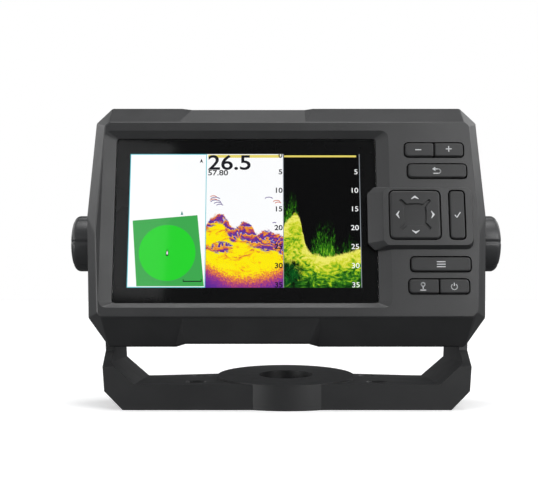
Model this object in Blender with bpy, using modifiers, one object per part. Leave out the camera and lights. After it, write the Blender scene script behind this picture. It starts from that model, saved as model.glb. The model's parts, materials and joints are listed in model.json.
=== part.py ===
"""Chartplotter display on a bail bracket, as an assembly of separate pieces.

Metres, +Z up, the front faces -Y, and the origin is the middle of the bracket's underside. The case is
modelled upright in its own frame: X to the right, Y the depth behind its front plane, Z the height above
the middle of the screen. An empty on the tilt axis then leans it back in the bracket.
"""

from math import atan2, cos, pi, radians, sin, tan

import bmesh
import bpy
from mathutils import Matrix, Vector

MM = 0.001
GAP = 0.3 * MM  # between pieces that touch
PAST = 1.0 * MM  # how far a cutter runs past what it cuts

# Screen and lens. The screen's middle is the case frame's zero height.
SCREEN_WIDTH = 108.0 * MM
SCREEN_HEIGHT = 64.8 * MM
LENS_BORDER_LEFT = 7.4 * MM
LENS_BORDER_RIGHT = 7.1 * MM
LENS_BORDER_TOP = 8.0 * MM
LENS_BORDER_BOTTOM = 5.4 * MM
LENS_RECESS = 2.4 * MM
LENS_THICK = 1.8 * MM
LENS_CORNER = 1.6 * MM
LENS_LEDGE = 3.0 * MM
SEAL_THICK = 0.4 * MM

# The sloped surround of the lens and the flat rim outside it.
SLOPE_SIDE = 6.0 * MM
SLOPE_TOP = 3.45 * MM
SLOPE_BOTTOM = 2.3 * MM
RIM_SIDE = 3.0 * MM
RIM_TOP = 4.75 * MM
RIM_BOTTOM = 4.7 * MM

# Keys and cursor pad.
PAD_LEFT_MARGIN = 4.9 * MM
PAD_WIDTH = 24.3 * MM
PAD_HEIGHT = 23.75 * MM
PAD_CENTRE = 2.6 * MM
PAD_TO_SELECT = 3.3 * MM
SELECT_WIDTH = 8.0 * MM
KEYPAD_RIGHT_MARGIN = 7.0 * MM
KEY_LENGTH = 28.6 * MM
KEY_HEIGHT = 7.75 * MM
KEY_ROW_GAP = 2.5 * MM
BLOCK_TO_UPPER_KEY = 3.8 * MM
BLOCK_TO_LOWER_KEY = 2.8 * MM
KEY_CORNER = 2.1 * MM
KEY_CLEARANCE = 0.65 * MM
KEY_PROUD = 0.8 * MM
KEY_FLANGE = 1.1 * MM
KEY_FLANGE_THICK = 0.8 * MM
KEY_TRAVEL = 0.8 * MM
KEY_STEM_RADIUS = 1.6 * MM
PAD_STEM_REACH = 8.0 * MM  # from the pad's middle
ROCKER_RADIUS = 3.0 * MM
BLOCK_PROUD = 2.5 * MM
PAD_SWING = radians(1.5)
PAD_CLEARANCE = 0.5 * MM

# Front frame.
FACE_THICK = 3.0 * MM
FLANGE_DEPTH = 14.0 * MM
FRAME_DEPTH = 16.5 * MM
FLANGE_OUT_SIDE = 6.5 * MM
FLANGE_OUT_TOP = 11.0 * MM
FLANGE_OUT_BOTTOM = 12.2 * MM
NOTCH_TOP = 2.4 * MM
NOTCH_BOTTOM = 1.3 * MM
FRAME_WALL = 2.4 * MM
FRAME_LEDGE = 6.4 * MM
LEDGE_DEPTH = 13.0 * MM

# Rear housing.
HOUSING_DEPTH = 48.0 * MM
HOUSING_WALL = 2.5 * MM
HOUSING_FLANGE = 2.0 * MM
HOUSING_SIDE_INSET = 10.0 * MM
BOSS_PROUD = 1.5 * MM
BOSS_RADIUS = 11.0 * MM
PIVOT_DEPTH = 36.3 * MM
PIVOT_BELOW_SCREEN = 4.1 * MM
HOUSING_SEAL_THICK = 0.7 * MM
SCREW_INSET = 6.6 * MM
SCREW_RADIUS = 1.1 * MM
SCREW_CLEARANCE = 0.35 * MM
SCREW_HEAD_RADIUS = 2.4 * MM
SCREW_HEAD_HEIGHT = 1.6 * MM
BOARD_DEPTH = 24.0 * MM
BOARD_THICK = 1.6 * MM

# Sockets and vent in the housing's back, placed as (x, z).
SOCKET_NECK = 8.0 * MM
SOCKET_BORE = 7.2 * MM
SOCKET_LENGTH = 12.0 * MM
SOCKET_PLACES = {"power_socket": (-24.0 * MM, -20.0 * MM), "transducer_socket": (24.0 * MM, -20.0 * MM)}
PIN_CIRCLE = 4.0 * MM
VENT_NECK = 2.2 * MM
VENT_PLACE = (0.0, 18.0 * MM)

# Side knobs and what they clamp.
FRICTION_WASHER_THICK = 2.0 * MM
CLAMP_WASHER_THICK = 1.4 * MM
ARM_THICK = 4.4 * MM
STUD_RADIUS = 3.0 * MM
STUD_CLEARANCE = 0.4 * MM
INSERT_WALL = 1.7 * MM
KNOB_RADIUS = 14.0 * MM
KNOB_LENGTH = 16.4 * MM
KNOB_FLUTES = 6
FLUTE_RADIUS = 1.3 * MM
FLUTE_DEPTH = 0.5 * MM

# Bracket.
CASE_LEAN = radians(6.2)
PIVOT_HEIGHT = 79.4 * MM
BASE_THICK = 11.8 * MM
BASE_FRONT = 30.0 * MM
ARM_TOP_RADIUS = 16.0 * MM
BRACKET_CHAMFER = 8.7 * MM
PAD_RING_RADIUS = 34.0 * MM
PAD_RING_RISE = 4.1 * MM
PAD_RECESS_RADIUS = 13.5 * MM
PAD_RECESS_DEPTH = 5.0 * MM
BASE_SCREW_X = 43.5 * MM
BASE_SCREW_Y = 16.5 * MM
BASE_SCREW_RADIUS = 2.6 * MM
COUNTERSINK_RADIUS = 5.35 * MM
CORE_DEPTH = 8.0 * MM

# Sizes that follow from those above.
LENS_WIDTH = LENS_BORDER_LEFT + SCREEN_WIDTH + LENS_BORDER_RIGHT
KEYPAD_WIDTH = PAD_LEFT_MARGIN + PAD_WIDTH + PAD_TO_SELECT + SELECT_WIDTH + KEYPAD_RIGHT_MARGIN
FRONT_HALF = (RIM_SIDE + SLOPE_SIDE + LENS_WIDTH + KEYPAD_WIDTH) / 2
LENS_LEFT = -FRONT_HALF + RIM_SIDE + SLOPE_SIDE
LENS_RIGHT = LENS_LEFT + LENS_WIDTH
LENS_TOP = SCREEN_HEIGHT / 2 + LENS_BORDER_TOP
LENS_BOTTOM = -SCREEN_HEIGHT / 2 - LENS_BORDER_BOTTOM
SCREEN_X = LENS_LEFT + LENS_BORDER_LEFT + SCREEN_WIDTH / 2
FRONT_TOP = LENS_TOP + SLOPE_TOP + RIM_TOP
FRONT_BOTTOM = LENS_BOTTOM - SLOPE_BOTTOM - RIM_BOTTOM
FLANGE_HALF = FRONT_HALF + FLANGE_OUT_SIDE
FLANGE_TOP = FRONT_TOP + FLANGE_OUT_TOP
FLANGE_BOTTOM = FRONT_BOTTOM - FLANGE_OUT_BOTTOM

LENS_BACK = LENS_RECESS + LENS_THICK
SEAL_FRONT = LENS_BACK + GAP
LENS_POCKET_DEPTH = SEAL_FRONT + SEAL_THICK + GAP
BAY_FLOOR = LENS_POCKET_DEPTH + 1.6 * MM

BLOCK_TOP = PAD_CENTRE + PAD_HEIGHT / 2 + 1.9 * MM
BLOCK_BOTTOM = PAD_CENTRE - PAD_HEIGHT / 2 - 4.2 * MM
BLOCK_LEFT = LENS_RIGHT - 4.5 * MM
BLOCK_RIGHT = FRONT_HALF - 3.1 * MM
BAY_LEFT = LENS_RIGHT + 3.8 * MM
BAY_RIGHT = FRONT_HALF - 3.5 * MM
BAY_BOTTOM = FRONT_BOTTOM + 3.8 * MM
BAY_TOP = FRONT_TOP - 3.6 * MM
FLANGE_FRONT = FACE_THICK + GAP
MAT_FRONT = FLANGE_FRONT + KEY_FLANGE_THICK + KEY_TRAVEL + 2 * GAP
MAT_THICK = 0.8 * MM
STEM_END = MAT_FRONT + MAT_THICK + 0.7 * MM
DOME_FRONT = STEM_END + KEY_TRAVEL + 0.15 * MM
DOME_HEIGHT = 0.5 * MM
KEYPAD_BOARD_FRONT = DOME_FRONT + DOME_HEIGHT
PAD_PIVOT_DEPTH = FACE_THICK + 1.0 * MM

HOUSING_HALF = FRONT_HALF - HOUSING_SIDE_INSET
BOSS_FACE = HOUSING_HALF + BOSS_PROUD
ARM_INNER = BOSS_FACE + GAP + FRICTION_WASHER_THICK + GAP
ARM_OUTER = ARM_INNER + ARM_THICK
CLAMP_WASHER_X = ARM_OUTER + GAP
KNOB_X = CLAMP_WASHER_X + CLAMP_WASHER_THICK + GAP
INSERT_RADIUS = STUD_RADIUS + GAP + INSERT_WALL
INSERT_LENGTH = 12.4 * MM
STUD_START = BOSS_FACE - INSERT_LENGTH + 3.0 * MM
STUD_END = KNOB_X + 0.55 * KNOB_LENGTH
SEAL_REAR_FRONT = LEDGE_DEPTH + GAP
HOUSING_FRONT = SEAL_REAR_FRONT + HOUSING_SEAL_THICK + GAP
HOUSING_SHOULDER = HOUSING_FRONT + HOUSING_FLANGE
CASE_OFFSET = Vector((0, -PIVOT_DEPTH, PIVOT_BELOW_SCREEN))


# ------------------------------------------------------------------ outlines


def corner_arc(before, corner, after, radius, steps):
    """The points of the arc that rounds one corner of a 2D outline."""
    back, ahead = (before - corner).normalized(), (after - corner).normalized()
    half = back.angle(ahead) / 2
    reach = radius / tan(half)
    centre = corner + (back + ahead).normalized() * (radius / sin(half))
    first = corner + back * reach - centre
    last = corner + ahead * reach - centre
    turn = atan2(first.x * last.y - first.y * last.x, first.dot(last))
    return [centre + Matrix.Rotation(turn * k / steps, 2) @ first for k in range(steps + 1)]


def rounded(corners, steps=2):
    """A closed outline from (x, y, radius) corners. A radius of 0 keeps the corner sharp."""
    flat = [Vector(corner[:2]) for corner in corners]
    points = []
    for i, (x, y, radius) in enumerate(corners):
        if radius == 0:
            points.append(flat[i])
        else:
            points += corner_arc(flat[i - 1], flat[i], flat[(i + 1) % len(flat)], radius, steps)
    return points


def rectangle(left, right, bottom, top, radius=0.0, steps=3):
    corners = ((left, bottom), (right, bottom), (right, top), (left, top))
    return rounded([(x, y, radius) for x, y in corners], steps)


def circle(x, y, radius, count, start=0.0):
    angles = [start + 2 * pi * k / count for k in range(count)]
    return [Vector((x + radius * cos(a), y + radius * sin(a))) for a in angles]


def inset(corners, amount):
    """The (x, y, radius) corners moved inwards by the same distance from every edge."""
    flat = [Vector(corner[:2]) for corner in corners]
    count = len(flat)
    area = sum(flat[i - 1].x * flat[i].y - flat[i - 1].y * flat[i].x for i in range(count))
    side = 1 if area > 0 else -1
    moved = []
    for i, (x, y, radius) in enumerate(corners):
        into = (flat[i] - flat[i - 1]).normalized()
        out = (flat[(i + 1) % count] - flat[i]).normalized()
        first, second = Vector((-into.y, into.x)) * side, Vector((-out.y, out.x)) * side
        step = (first + second) * amount / (1 + first.dot(second))
        moved.append((x + step.x, y + step.y, radius))
    return moved


def mirrored(half):
    """A left-right symmetric set of corners from its right half, listed top to bottom."""
    return list(half) + [(-x, y, radius) for x, y, radius in reversed(half)]


# ------------------------------------------------------------------ solids


def new_object(name, mesh):
    obj = bpy.data.objects.new(name, mesh)
    bpy.context.scene.collection.objects.link(obj)
    return obj


def object_from(name, bm):
    bmesh.ops.recalc_face_normals(bm, faces=bm.faces)
    if bm.calc_volume(signed=True) < 0:
        bmesh.ops.reverse_faces(bm, faces=bm.faces)
    mesh = bpy.data.meshes.new(name)
    bm.to_mesh(mesh)
    bm.free()
    return new_object(name, mesh)


def loft(name, rings):
    """A closed body through rings that have the same number of points."""
    bm = bmesh.new()
    levels = [[bm.verts.new(point) for point in ring] for ring in rings]
    count = len(rings[0])
    for lower, upper in zip(levels, levels[1:]):
        for i in range(count):
            j = (i + 1) % count
            bm.faces.new((lower[i], lower[j], upper[j], upper[i]))
    bm.faces.new(levels[0])
    bm.faces.new(levels[-1])
    return object_from(name, bm)


def at_depth(outline, depth):
    return [Vector((point[0], depth, point[1])) for point in outline]


def prism(name, outline, low, high, axis):
    """A flat outline extruded from low to high. Its plane is YZ, XZ or XY for an axis of X, Y or Z."""
    curve = bpy.data.curves.new(name, "CURVE")
    curve.dimensions = "2D"
    curve.fill_mode = "BOTH"
    curve.extrude = (high - low) / 2
    spline = curve.splines.new("POLY")
    spline.points.add(len(outline) - 1)
    for target, point in zip(spline.points, outline):
        target.co = (point[0], point[1], 0, 1)
    spline.use_cyclic_u = True
    guide = new_object(name, curve)
    graph = bpy.context.evaluated_depsgraph_get()
    mesh = bpy.data.meshes.new_from_object(guide.evaluated_get(graph))
    bpy.data.objects.remove(guide)
    bm = bmesh.new()
    bm.from_mesh(mesh)
    bpy.data.meshes.remove(mesh)
    bmesh.ops.remove_doubles(bm, verts=bm.verts, dist=1e-6)
    bmesh.ops.dissolve_limit(bm, angle_limit=radians(0.5), verts=bm.verts, edges=bm.edges)
    columns = {"X": (1, 2, 0), "Y": (0, 2, 1), "Z": (0, 1, 2)}[axis]
    turn = Matrix.Identity(4)
    for source, target in enumerate(columns):
        turn[0][source] = turn[1][source] = turn[2][source] = 0
        turn[target][source] = 1
    shift = [0, 0, 0]
    shift[columns[2]] = (low + high) / 2
    bm.transform(Matrix.Translation(shift) @ turn)
    return object_from(name, bm)


def box(name, low, high):
    low, high = Vector(low), Vector(high)
    bm = bmesh.new()
    bmesh.ops.create_cube(bm, size=1.0)
    bm.transform(Matrix.Translation((low + high) / 2) @ Matrix.Diagonal((*(high - low), 1)))
    return object_from(name, bm)


def cylinder(name, start, end, radius, end_radius=None, sides=24):
    start, end = Vector(start), Vector(end)
    bm = bmesh.new()
    bmesh.ops.create_cone(
        bm,
        cap_ends=True,
        segments=sides,
        radius1=radius,
        radius2=radius if end_radius is None else end_radius,
        depth=(end - start).length,
    )
    turn = (end - start).to_track_quat("Z", "Y").to_matrix().to_4x4()
    bm.transform(Matrix.Translation((start + end) / 2) @ turn)
    return object_from(name, bm)


def turned(name, profile, place, toward, steps=32):
    """A profile of (radius, height) turned about an axis at place, whose top points toward."""
    mesh = bpy.data.meshes.new(name)
    points = [(radius, 0, height) for radius, height in profile]
    mesh.from_pydata(points, [(i, i + 1) for i in range(len(points) - 1)], [])
    obj = new_object(name, mesh)
    obj.location = place
    obj.rotation_mode = "QUATERNION"
    obj.rotation_quaternion = Vector(toward).to_track_quat("Z", "Y")
    screw = obj.modifiers.new("turn", "SCREW")
    screw.steps = screw.render_steps = steps
    screw.use_merge_vertices = True
    screw.merge_threshold = 1e-6
    return obj


def washer(name, low_x, high_x, hole, radius, sides=20):
    """A flat ring on the tilt axis, from low_x to high_x."""
    profile = [(hole, high_x), (radius, high_x), (radius, low_x), (hole, low_x), (hole, high_x)]
    return turned(name, profile, (0, 0, 0), (1, 0, 0), sides)


def strip(name, path, thick, low_x, high_x):
    """A thin ribbon that follows a path of (depth, height) points."""
    points = [Vector(point) for point in path]
    one_side, other_side = [], []
    for i, point in enumerate(points):
        along = (points[min(i + 1, len(points) - 1)] - points[max(i - 1, 0)]).normalized()
        across = Vector((-along.y, along.x)) * thick / 2
        one_side.append(point + across)
        other_side.append(point - across)
    return prism(name, one_side + other_side[::-1], low_x, high_x, "X")


def joined(name, pieces):
    """Bodies that don't touch each other, made one object to cut or join with."""
    bm = bmesh.new()
    for piece in pieces:
        bm.from_mesh(piece.data)
        bpy.data.objects.remove(piece)
    return object_from(name, bm)


def combine(target, tool, operation):
    """A Boolean of the target with a tool, which stays as a guide and moves with the target."""
    modifier = target.modifiers.new(tool.name, "BOOLEAN")
    modifier.operation = operation
    modifier.object = tool
    tool.parent = target
    tool.matrix_parent_inverse = target.matrix_basis.inverted()
    tool.hide_render = True
    tool.display_type = "WIRE"
    bpy.context.scene.collection.objects.unlink(tool)
    CUTTERS.objects.link(tool)


def cut(target, tool):
    combine(target, tool, "DIFFERENCE")


def join(target, tool):
    combine(target, tool, "UNION")


def origin_at(obj, place):
    """Moves a mesh object's origin without moving its shape."""
    obj.data.transform(Matrix.Translation(-Vector(place)))
    obj.location = place
    return obj


def place(obj, material, parent=None, offset=(0, 0, 0)):
    """Gives a piece its material and its parent, and puts it in the object's collection."""
    obj.data.materials.append(MATERIALS[material])
    if len(obj.data.polygons):
        obj.data.shade_smooth()
        obj.data.set_sharp_from_angle(angle=radians(35))
    obj.location += Vector(offset)
    obj.parent = parent
    bpy.context.scene.collection.objects.unlink(obj)
    PIECES.objects.link(obj)
    return obj


def case_piece(obj, material):
    return place(obj, material, CASE, CASE_OFFSET)


# ------------------------------------------------------------------ bracket


def arm_top():
    """The round end of the bracket's arms, in the YZ plane, from front to back."""
    angles = [pi - pi * k / 12 for k in range(13)]
    return [
        (ARM_TOP_RADIUS * cos(a), PIVOT_HEIGHT + ARM_TOP_RADIUS * sin(a)) for a in angles
    ]


def bracket_profile():
    """The bracket seen from the side, in the YZ plane."""
    front = [
        (-BASE_FRONT, -PAST),
        (-BASE_FRONT, 20.0 * MM),
        (-BASE_FRONT + 10.5 * MM, 27.0 * MM),
        (-ARM_TOP_RADIUS - 1.5 * MM, 42.0 * MM),
    ]
    back = [
        (ARM_TOP_RADIUS - 2.0 * MM, 42.0 * MM),
        (ARM_TOP_RADIUS - 1.5 * MM, 30.0 * MM),
        (ARM_TOP_RADIUS + 2.0 * MM, 21.0 * MM),
        (PAD_RING_RADIUS + 2 * PAST, BASE_THICK + PAST),
        (PAD_RING_RADIUS + 2 * PAST, -PAST),
    ]
    return front + arm_top() + back


def bracket_front():
    """The bracket seen from the front, in the XZ plane: a U with chamfered corners."""
    outer = ARM_OUTER
    top = PIVOT_HEIGHT + ARM_TOP_RADIUS + PAST
    right = [
        (ARM_INNER, top),
        (outer, top),
        (outer, 45.0 * MM),
        (outer - 3.0 * MM, BRACKET_CHAMFER),
        (outer - 3.0 * MM - BRACKET_CHAMFER, 0.0),
    ]
    left = [(-x, z) for x, z in reversed(right)]
    inside = [
        (-ARM_INNER, 45.0 * MM),
        (-ARM_INNER + 1.3 * MM, BASE_THICK + 10.0 * MM),
        (-ARM_INNER + 12.6 * MM, BASE_THICK),
    ]
    return right + left + inside + [(-x, z) for x, z in reversed(inside)]


def bracket_plan():
    """The bracket seen from above, in the XY plane."""
    right = [
        (ARM_OUTER + PAST, -BASE_FRONT - PAST),
        (ARM_OUTER + PAST, 14.5 * MM),
        (ARM_OUTER - 14.0 * MM, 17.0 * MM),
        (BASE_SCREW_X + 20.5 * MM, 18.5 * MM),
        (PAD_RING_RADIUS - 2.0 * MM, 28.6 * MM),
    ]
    return right + [(-x, y) for x, y in reversed(right)]


def pad_ring():
    """The round pad in the middle of the base, whose top rises towards the back."""
    outline = circle(0, 0, PAD_RING_RADIUS, 48)

    def top(y):
        return BASE_THICK + PAD_RING_RISE * (y + PAD_RING_RADIUS) / (2 * PAD_RING_RADIUS)

    low = [(x, y, 0.0) for x, y in outline]
    high = [(x, y, top(y)) for x, y in outline]
    return loft("pad_ring", [low, high])


def bail_bracket():
    body = prism("bail_bracket", bracket_front(), -BASE_FRONT, PAD_RING_RADIUS + PAST, "Y")
    width = ARM_OUTER + 2 * PAST
    combine(body, prism("side_trim", bracket_profile(), -width, width, "X"), "INTERSECT")
    height = PIVOT_HEIGHT + ARM_TOP_RADIUS + 2 * PAST
    combine(body, prism("plan_trim", bracket_plan(), -PAST, height, "Z"), "INTERSECT")
    join(body, pad_ring())

    recess_floor = BASE_THICK - PAD_RECESS_DEPTH
    above = BASE_THICK + PAD_RING_RISE + PAST
    cuts = [cylinder("recess", (0, 0, recess_floor), (0, 0, above), PAD_RECESS_RADIUS, sides=32)]
    sink = COUNTERSINK_RADIUS - BASE_SCREW_RADIUS
    for x in (-BASE_SCREW_X, BASE_SCREW_X):
        for y in (-BASE_SCREW_Y, BASE_SCREW_Y):
            profile = [
                (0, BASE_THICK + PAST),
                (COUNTERSINK_RADIUS + PAST, BASE_THICK + PAST),
                (BASE_SCREW_RADIUS, BASE_THICK - sink),
                (BASE_SCREW_RADIUS, -PAST),
                (0, -PAST),
            ]
            hole = turned("screw_hole", profile, (x, y, 0), (0, 0, 1), 16)
            cuts.append(as_mesh(hole))
    cut(body, joined("base_cuts", cuts))

    pockets = []
    for side in (-1, 1):
        near, far = sorted((side * (BASE_SCREW_X + 8.5 * MM), side * (BASE_SCREW_X + 26.5 * MM)))
        for front, back in ((-BASE_FRONT + 4 * MM, -7.0 * MM), (-4.0 * MM, 13.0 * MM)):
            pockets.append(box("pocket", (near, front, -PAST), (far, back, CORE_DEPTH)))
    pivot = (0, 0, PIVOT_HEIGHT)
    reach = Vector((ARM_OUTER + PAST, 0, 0))
    for side in (-1, 1):
        start = Vector(pivot) + side * Vector((ARM_INNER - 5 * MM, 0, 0))
        end = Vector(pivot) + side * reach
        pockets.append(cylinder("stud_hole", start, end, STUD_RADIUS + STUD_CLEARANCE))
    cut(body, joined("bracket_pockets", pockets))
    place(body, "bracket plastic")


def as_mesh(obj):
    """A turned shape with its modifiers and its place made part of its mesh."""
    graph = bpy.context.evaluated_depsgraph_get()
    mesh = bpy.data.meshes.new_from_object(obj.evaluated_get(graph))
    mesh.transform(obj.matrix_basis)
    name = obj.name
    bpy.data.objects.remove(obj)
    return new_object(name, mesh)


# ------------------------------------------------------------------ front frame


def frame_corners(grow, corner_radius):
    """The front outline of the frame, grown towards the flange's outline as grow goes from 0 to 1.

    The top and the bottom edge each have four more points, for the notch in the flange's edge.
    """

    def mix(front, flange):
        return front + (flange - front) * grow

    top, bottom = mix(FRONT_TOP, FLANGE_TOP), mix(FRONT_BOTTOM, FLANGE_BOTTOM)
    sides = [
        (mix(FRONT_HALF - 5.2 * MM, FLANGE_HALF - 10.6 * MM), top),
        (mix(FRONT_HALF - 2.9 * MM, FLANGE_HALF - 2.9 * MM), top - mix(2.2 * MM, 7.8 * MM)),
        (mix(FRONT_HALF, FLANGE_HALF), mix(-5.0 * MM, 5.0 * MM)),
        (mix(FRONT_HALF - 2.3 * MM, FLANGE_HALF - 2.5 * MM), bottom + mix(2.2 * MM, 13.4 * MM)),
        (mix(FRONT_HALF - 4.7 * MM, FLANGE_HALF - 12.6 * MM), bottom),
    ]
    right = [(x, z, corner_radius) for x, z in sides]
    left = [(-x, z, radius) for x, z, radius in reversed(right)]
    dip, lift = NOTCH_TOP * grow, NOTCH_BOTTOM * grow
    start, end = SCREEN_X - 26.8 * MM, SCREEN_X + 28.0 * MM
    upper = [
        (start - 5.4 * MM, top, 0),
        (start, top - dip, 0),
        (end, top - dip, 0),
        (end + 4.4 * MM, top, 0),
    ]
    lower = [
        (end + 6.0 * MM, bottom, 0),
        (end + 1.5 * MM, bottom + lift, 0),
        (start - 1.9 * MM, bottom + lift, 0),
        (start - 6.2 * MM, bottom, 0),
    ]
    return right + lower + left + upper


LOWER_NOTCH, UPPER_NOTCH = 16, 35  # where a ring's notch bottoms start, after the rounded corners


def frame_ring(grow, shrink, depth, notch_depth):
    """One ring of the frame's outside. The notches' bottoms lie at their own depth."""
    corners = inset(frame_corners(grow, 1.6 * MM), shrink)
    ring = at_depth(rounded(corners), depth)
    for first in (LOWER_NOTCH, UPPER_NOTCH):
        ring[first].y = ring[first + 1].y = notch_depth
    return ring


def cavity_corners(amount):
    """The frame's inside outline behind the flange, which passes under the notches."""
    top, bottom = FLANGE_TOP - NOTCH_TOP, FLANGE_BOTTOM + NOTCH_BOTTOM
    right = [
        (FLANGE_HALF - 10.6 * MM, top, 1.6 * MM),
        (FLANGE_HALF - 2.9 * MM, top - 5.4 * MM, 1.6 * MM),
        (FLANGE_HALF, 5.0 * MM, 1.6 * MM),
        (FLANGE_HALF - 2.5 * MM, bottom + 12.1 * MM, 1.6 * MM),
        (FLANGE_HALF - 12.6 * MM, bottom, 1.6 * MM),
    ]
    return inset(mirrored(right), amount)


def cursor_block():
    """The raised block round the cursor pad and the select key."""

    def outline(left, right, bottom, top, cut_left, turn_right):
        return rounded(
            [
                (left, top - cut_left, 1.0 * MM),
                (left + cut_left, top, 1.0 * MM),
                (right, top, turn_right),
                (right, bottom, turn_right),
                (left + cut_left, bottom, 1.0 * MM),
                (left, bottom + cut_left, 1.0 * MM),
            ],
            steps=3,
        )

    pad_left = LENS_RIGHT + PAD_LEFT_MARGIN
    foot = outline(BLOCK_LEFT, BLOCK_RIGHT, BLOCK_BOTTOM, BLOCK_TOP, 3.2 * MM, 3.6 * MM)
    crown = outline(
        pad_left - 2.6 * MM,
        BLOCK_RIGHT - 0.9 * MM,
        BLOCK_BOTTOM + 1.9 * MM,
        BLOCK_TOP - 0.8 * MM,
        2.2 * MM,
        3.0 * MM,
    )
    edge = [Vector(a).lerp(Vector(b), 0.12) for a, b in zip(crown, foot)]
    lens_gap = LENS_RECESS - GAP
    return loft(
        "cursor_block",
        [
            at_depth(foot, lens_gap),
            at_depth(foot, 0.4 * MM),
            at_depth(edge, -BLOCK_PROUD + 0.25 * MM),
            at_depth(crown, -BLOCK_PROUD),
        ],
    )


def key_rows():
    """Each row of keys as (names, right edge, bottom). The rows stack up from the cursor block."""
    upper = BLOCK_TOP + BLOCK_TO_UPPER_KEY
    lower = BLOCK_BOTTOM - BLOCK_TO_LOWER_KEY - KEY_HEIGHT
    step = KEY_HEIGHT + KEY_ROW_GAP
    return [
        (("zoom_out_key", "zoom_in_key"), FRONT_HALF - 5.9 * MM, upper + step),
        (("back_key",), FRONT_HALF - 4.8 * MM, upper),
        (("menu_key",), FRONT_HALF - 4.6 * MM, lower),
        (("mark_key", "power_key"), FRONT_HALF - 5.7 * MM, lower - step),
    ]


def pad_area():
    left = LENS_RIGHT + PAD_LEFT_MARGIN
    return left, left + PAD_WIDTH, PAD_CENTRE - PAD_HEIGHT / 2, PAD_CENTRE + PAD_HEIGHT / 2


def select_area():
    left, right, bottom, top = pad_area()
    return right + PAD_TO_SELECT, right + PAD_TO_SELECT + SELECT_WIDTH, bottom, top


def key_areas():
    """The hole of every row of keys as (names, left, right, bottom, top)."""
    areas = [
        (names, right - KEY_LENGTH, right, bottom, bottom + KEY_HEIGHT)
        for names, right, bottom in key_rows()
    ]
    return areas + [(("select_key",), *select_area())]


def key_holes():
    holes = [
        prism("hole", rectangle(*area, KEY_CORNER), -4 * MM - PAST, FACE_THICK + PAST, "Y")
        for names, *area in key_areas()
    ]
    pad = rectangle(*pad_area(), 2.6 * MM)
    holes.append(prism("hole", pad, -4 * MM - PAST, FACE_THICK + PAST, "Y"))
    return joined("key_holes", holes)


def lens_outline(grow, radius=LENS_CORNER):
    return rectangle(
        LENS_LEFT - grow, LENS_RIGHT + grow, LENS_BOTTOM - grow, LENS_TOP + grow, radius + max(grow, 0)
    )


def slope_cutter():
    """Cuts the sloped surround from the rim down to the lens, and runs on in front of the face."""
    slopes = (SLOPE_SIDE, SLOPE_SIDE, SLOPE_BOTTOM, SLOPE_TOP)
    inner = (LENS_LEFT, LENS_RIGHT, LENS_BOTTOM, LENS_TOP)
    signs = (-1, 1, -1, 1)
    rings = []
    for depth in (LENS_RECESS, -PAST):
        share = (LENS_RECESS - depth) / LENS_RECESS
        area = [edge + sign * slope * share for edge, sign, slope in zip(inner, signs, slopes)]
        rings.append(at_depth(rectangle(*area, LENS_CORNER + 2 * MM * share), depth))
    return loft("lens_slope", rings)


def screw_places():
    """The six case screws as (x, z), clear of the notches."""
    columns = (-FLANGE_HALF + 24.0 * MM, SCREEN_X + 43.0 * MM, FLANGE_HALF - 24.0 * MM)
    heights = (FLANGE_TOP - SCREW_INSET, FLANGE_BOTTOM + SCREW_INSET)
    return [(x, z) for z in heights for x in columns]


def front_frame():
    """The moulded front: rim, lens ledge, keypad face, sloping flange and skirt."""
    notch = 9.0 * MM
    rings = [
        frame_ring(0.0, 0.9 * MM, 0.0, 0.0),
        frame_ring(0.0, 0.27 * MM, 0.27 * MM, 0.27 * MM),
        frame_ring(0.0, 0.0, 0.9 * MM, 0.9 * MM),
        frame_ring(0.97, 0.0, FLANGE_DEPTH - 0.8 * MM, notch - 0.5 * MM),
        frame_ring(1.0, 0.0, FLANGE_DEPTH, notch),
        frame_ring(1.0, 0.0, FRAME_DEPTH, FRAME_DEPTH),
    ]
    body = loft("front_frame", rings)
    cut(body, slope_cutter())
    join(body, cursor_block())

    deep = cavity_corners(FRAME_WALL + FRAME_LEDGE)
    wide = cavity_corners(FRAME_WALL)
    skirt = loft("skirt_cavity", [
        at_depth(rounded(deep), BAY_FLOOR),
        at_depth(rounded(deep), LEDGE_DEPTH),
        at_depth(rounded(wide), LEDGE_DEPTH),
        at_depth(rounded(wide), FRAME_DEPTH + PAST),
    ])
    cut(body, skirt)
    bay = (BAY_LEFT, BAY_RIGHT, BAY_BOTTOM, BAY_TOP)
    cut(body, prism("keypad_bay", rectangle(*bay, 2 * MM), FACE_THICK, BAY_FLOOR + PAST, "Y"))
    pocket = prism("pocket", lens_outline(GAP), LENS_RECESS - GAP / 3, LENS_POCKET_DEPTH, "Y")
    cut(body, pocket)
    window = lens_outline(-LENS_LEDGE, 1.0 * MM)
    cut(body, prism("window", window, LENS_RECESS, BAY_FLOOR + PAST, "Y"))
    cut(body, key_holes())
    pilot_end = LEDGE_DEPTH - 4.0 * MM
    pilots = [
        cylinder("pilot", (x, pilot_end, z), (x, LEDGE_DEPTH + PAST, z), SCREW_RADIUS + GAP / 2, sides=8)
        for x, z in screw_places()
    ]
    cut(body, joined("screw_pilots", pilots))
    case_piece(body, "case plastic")


# ------------------------------------------------------------------ display


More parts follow.
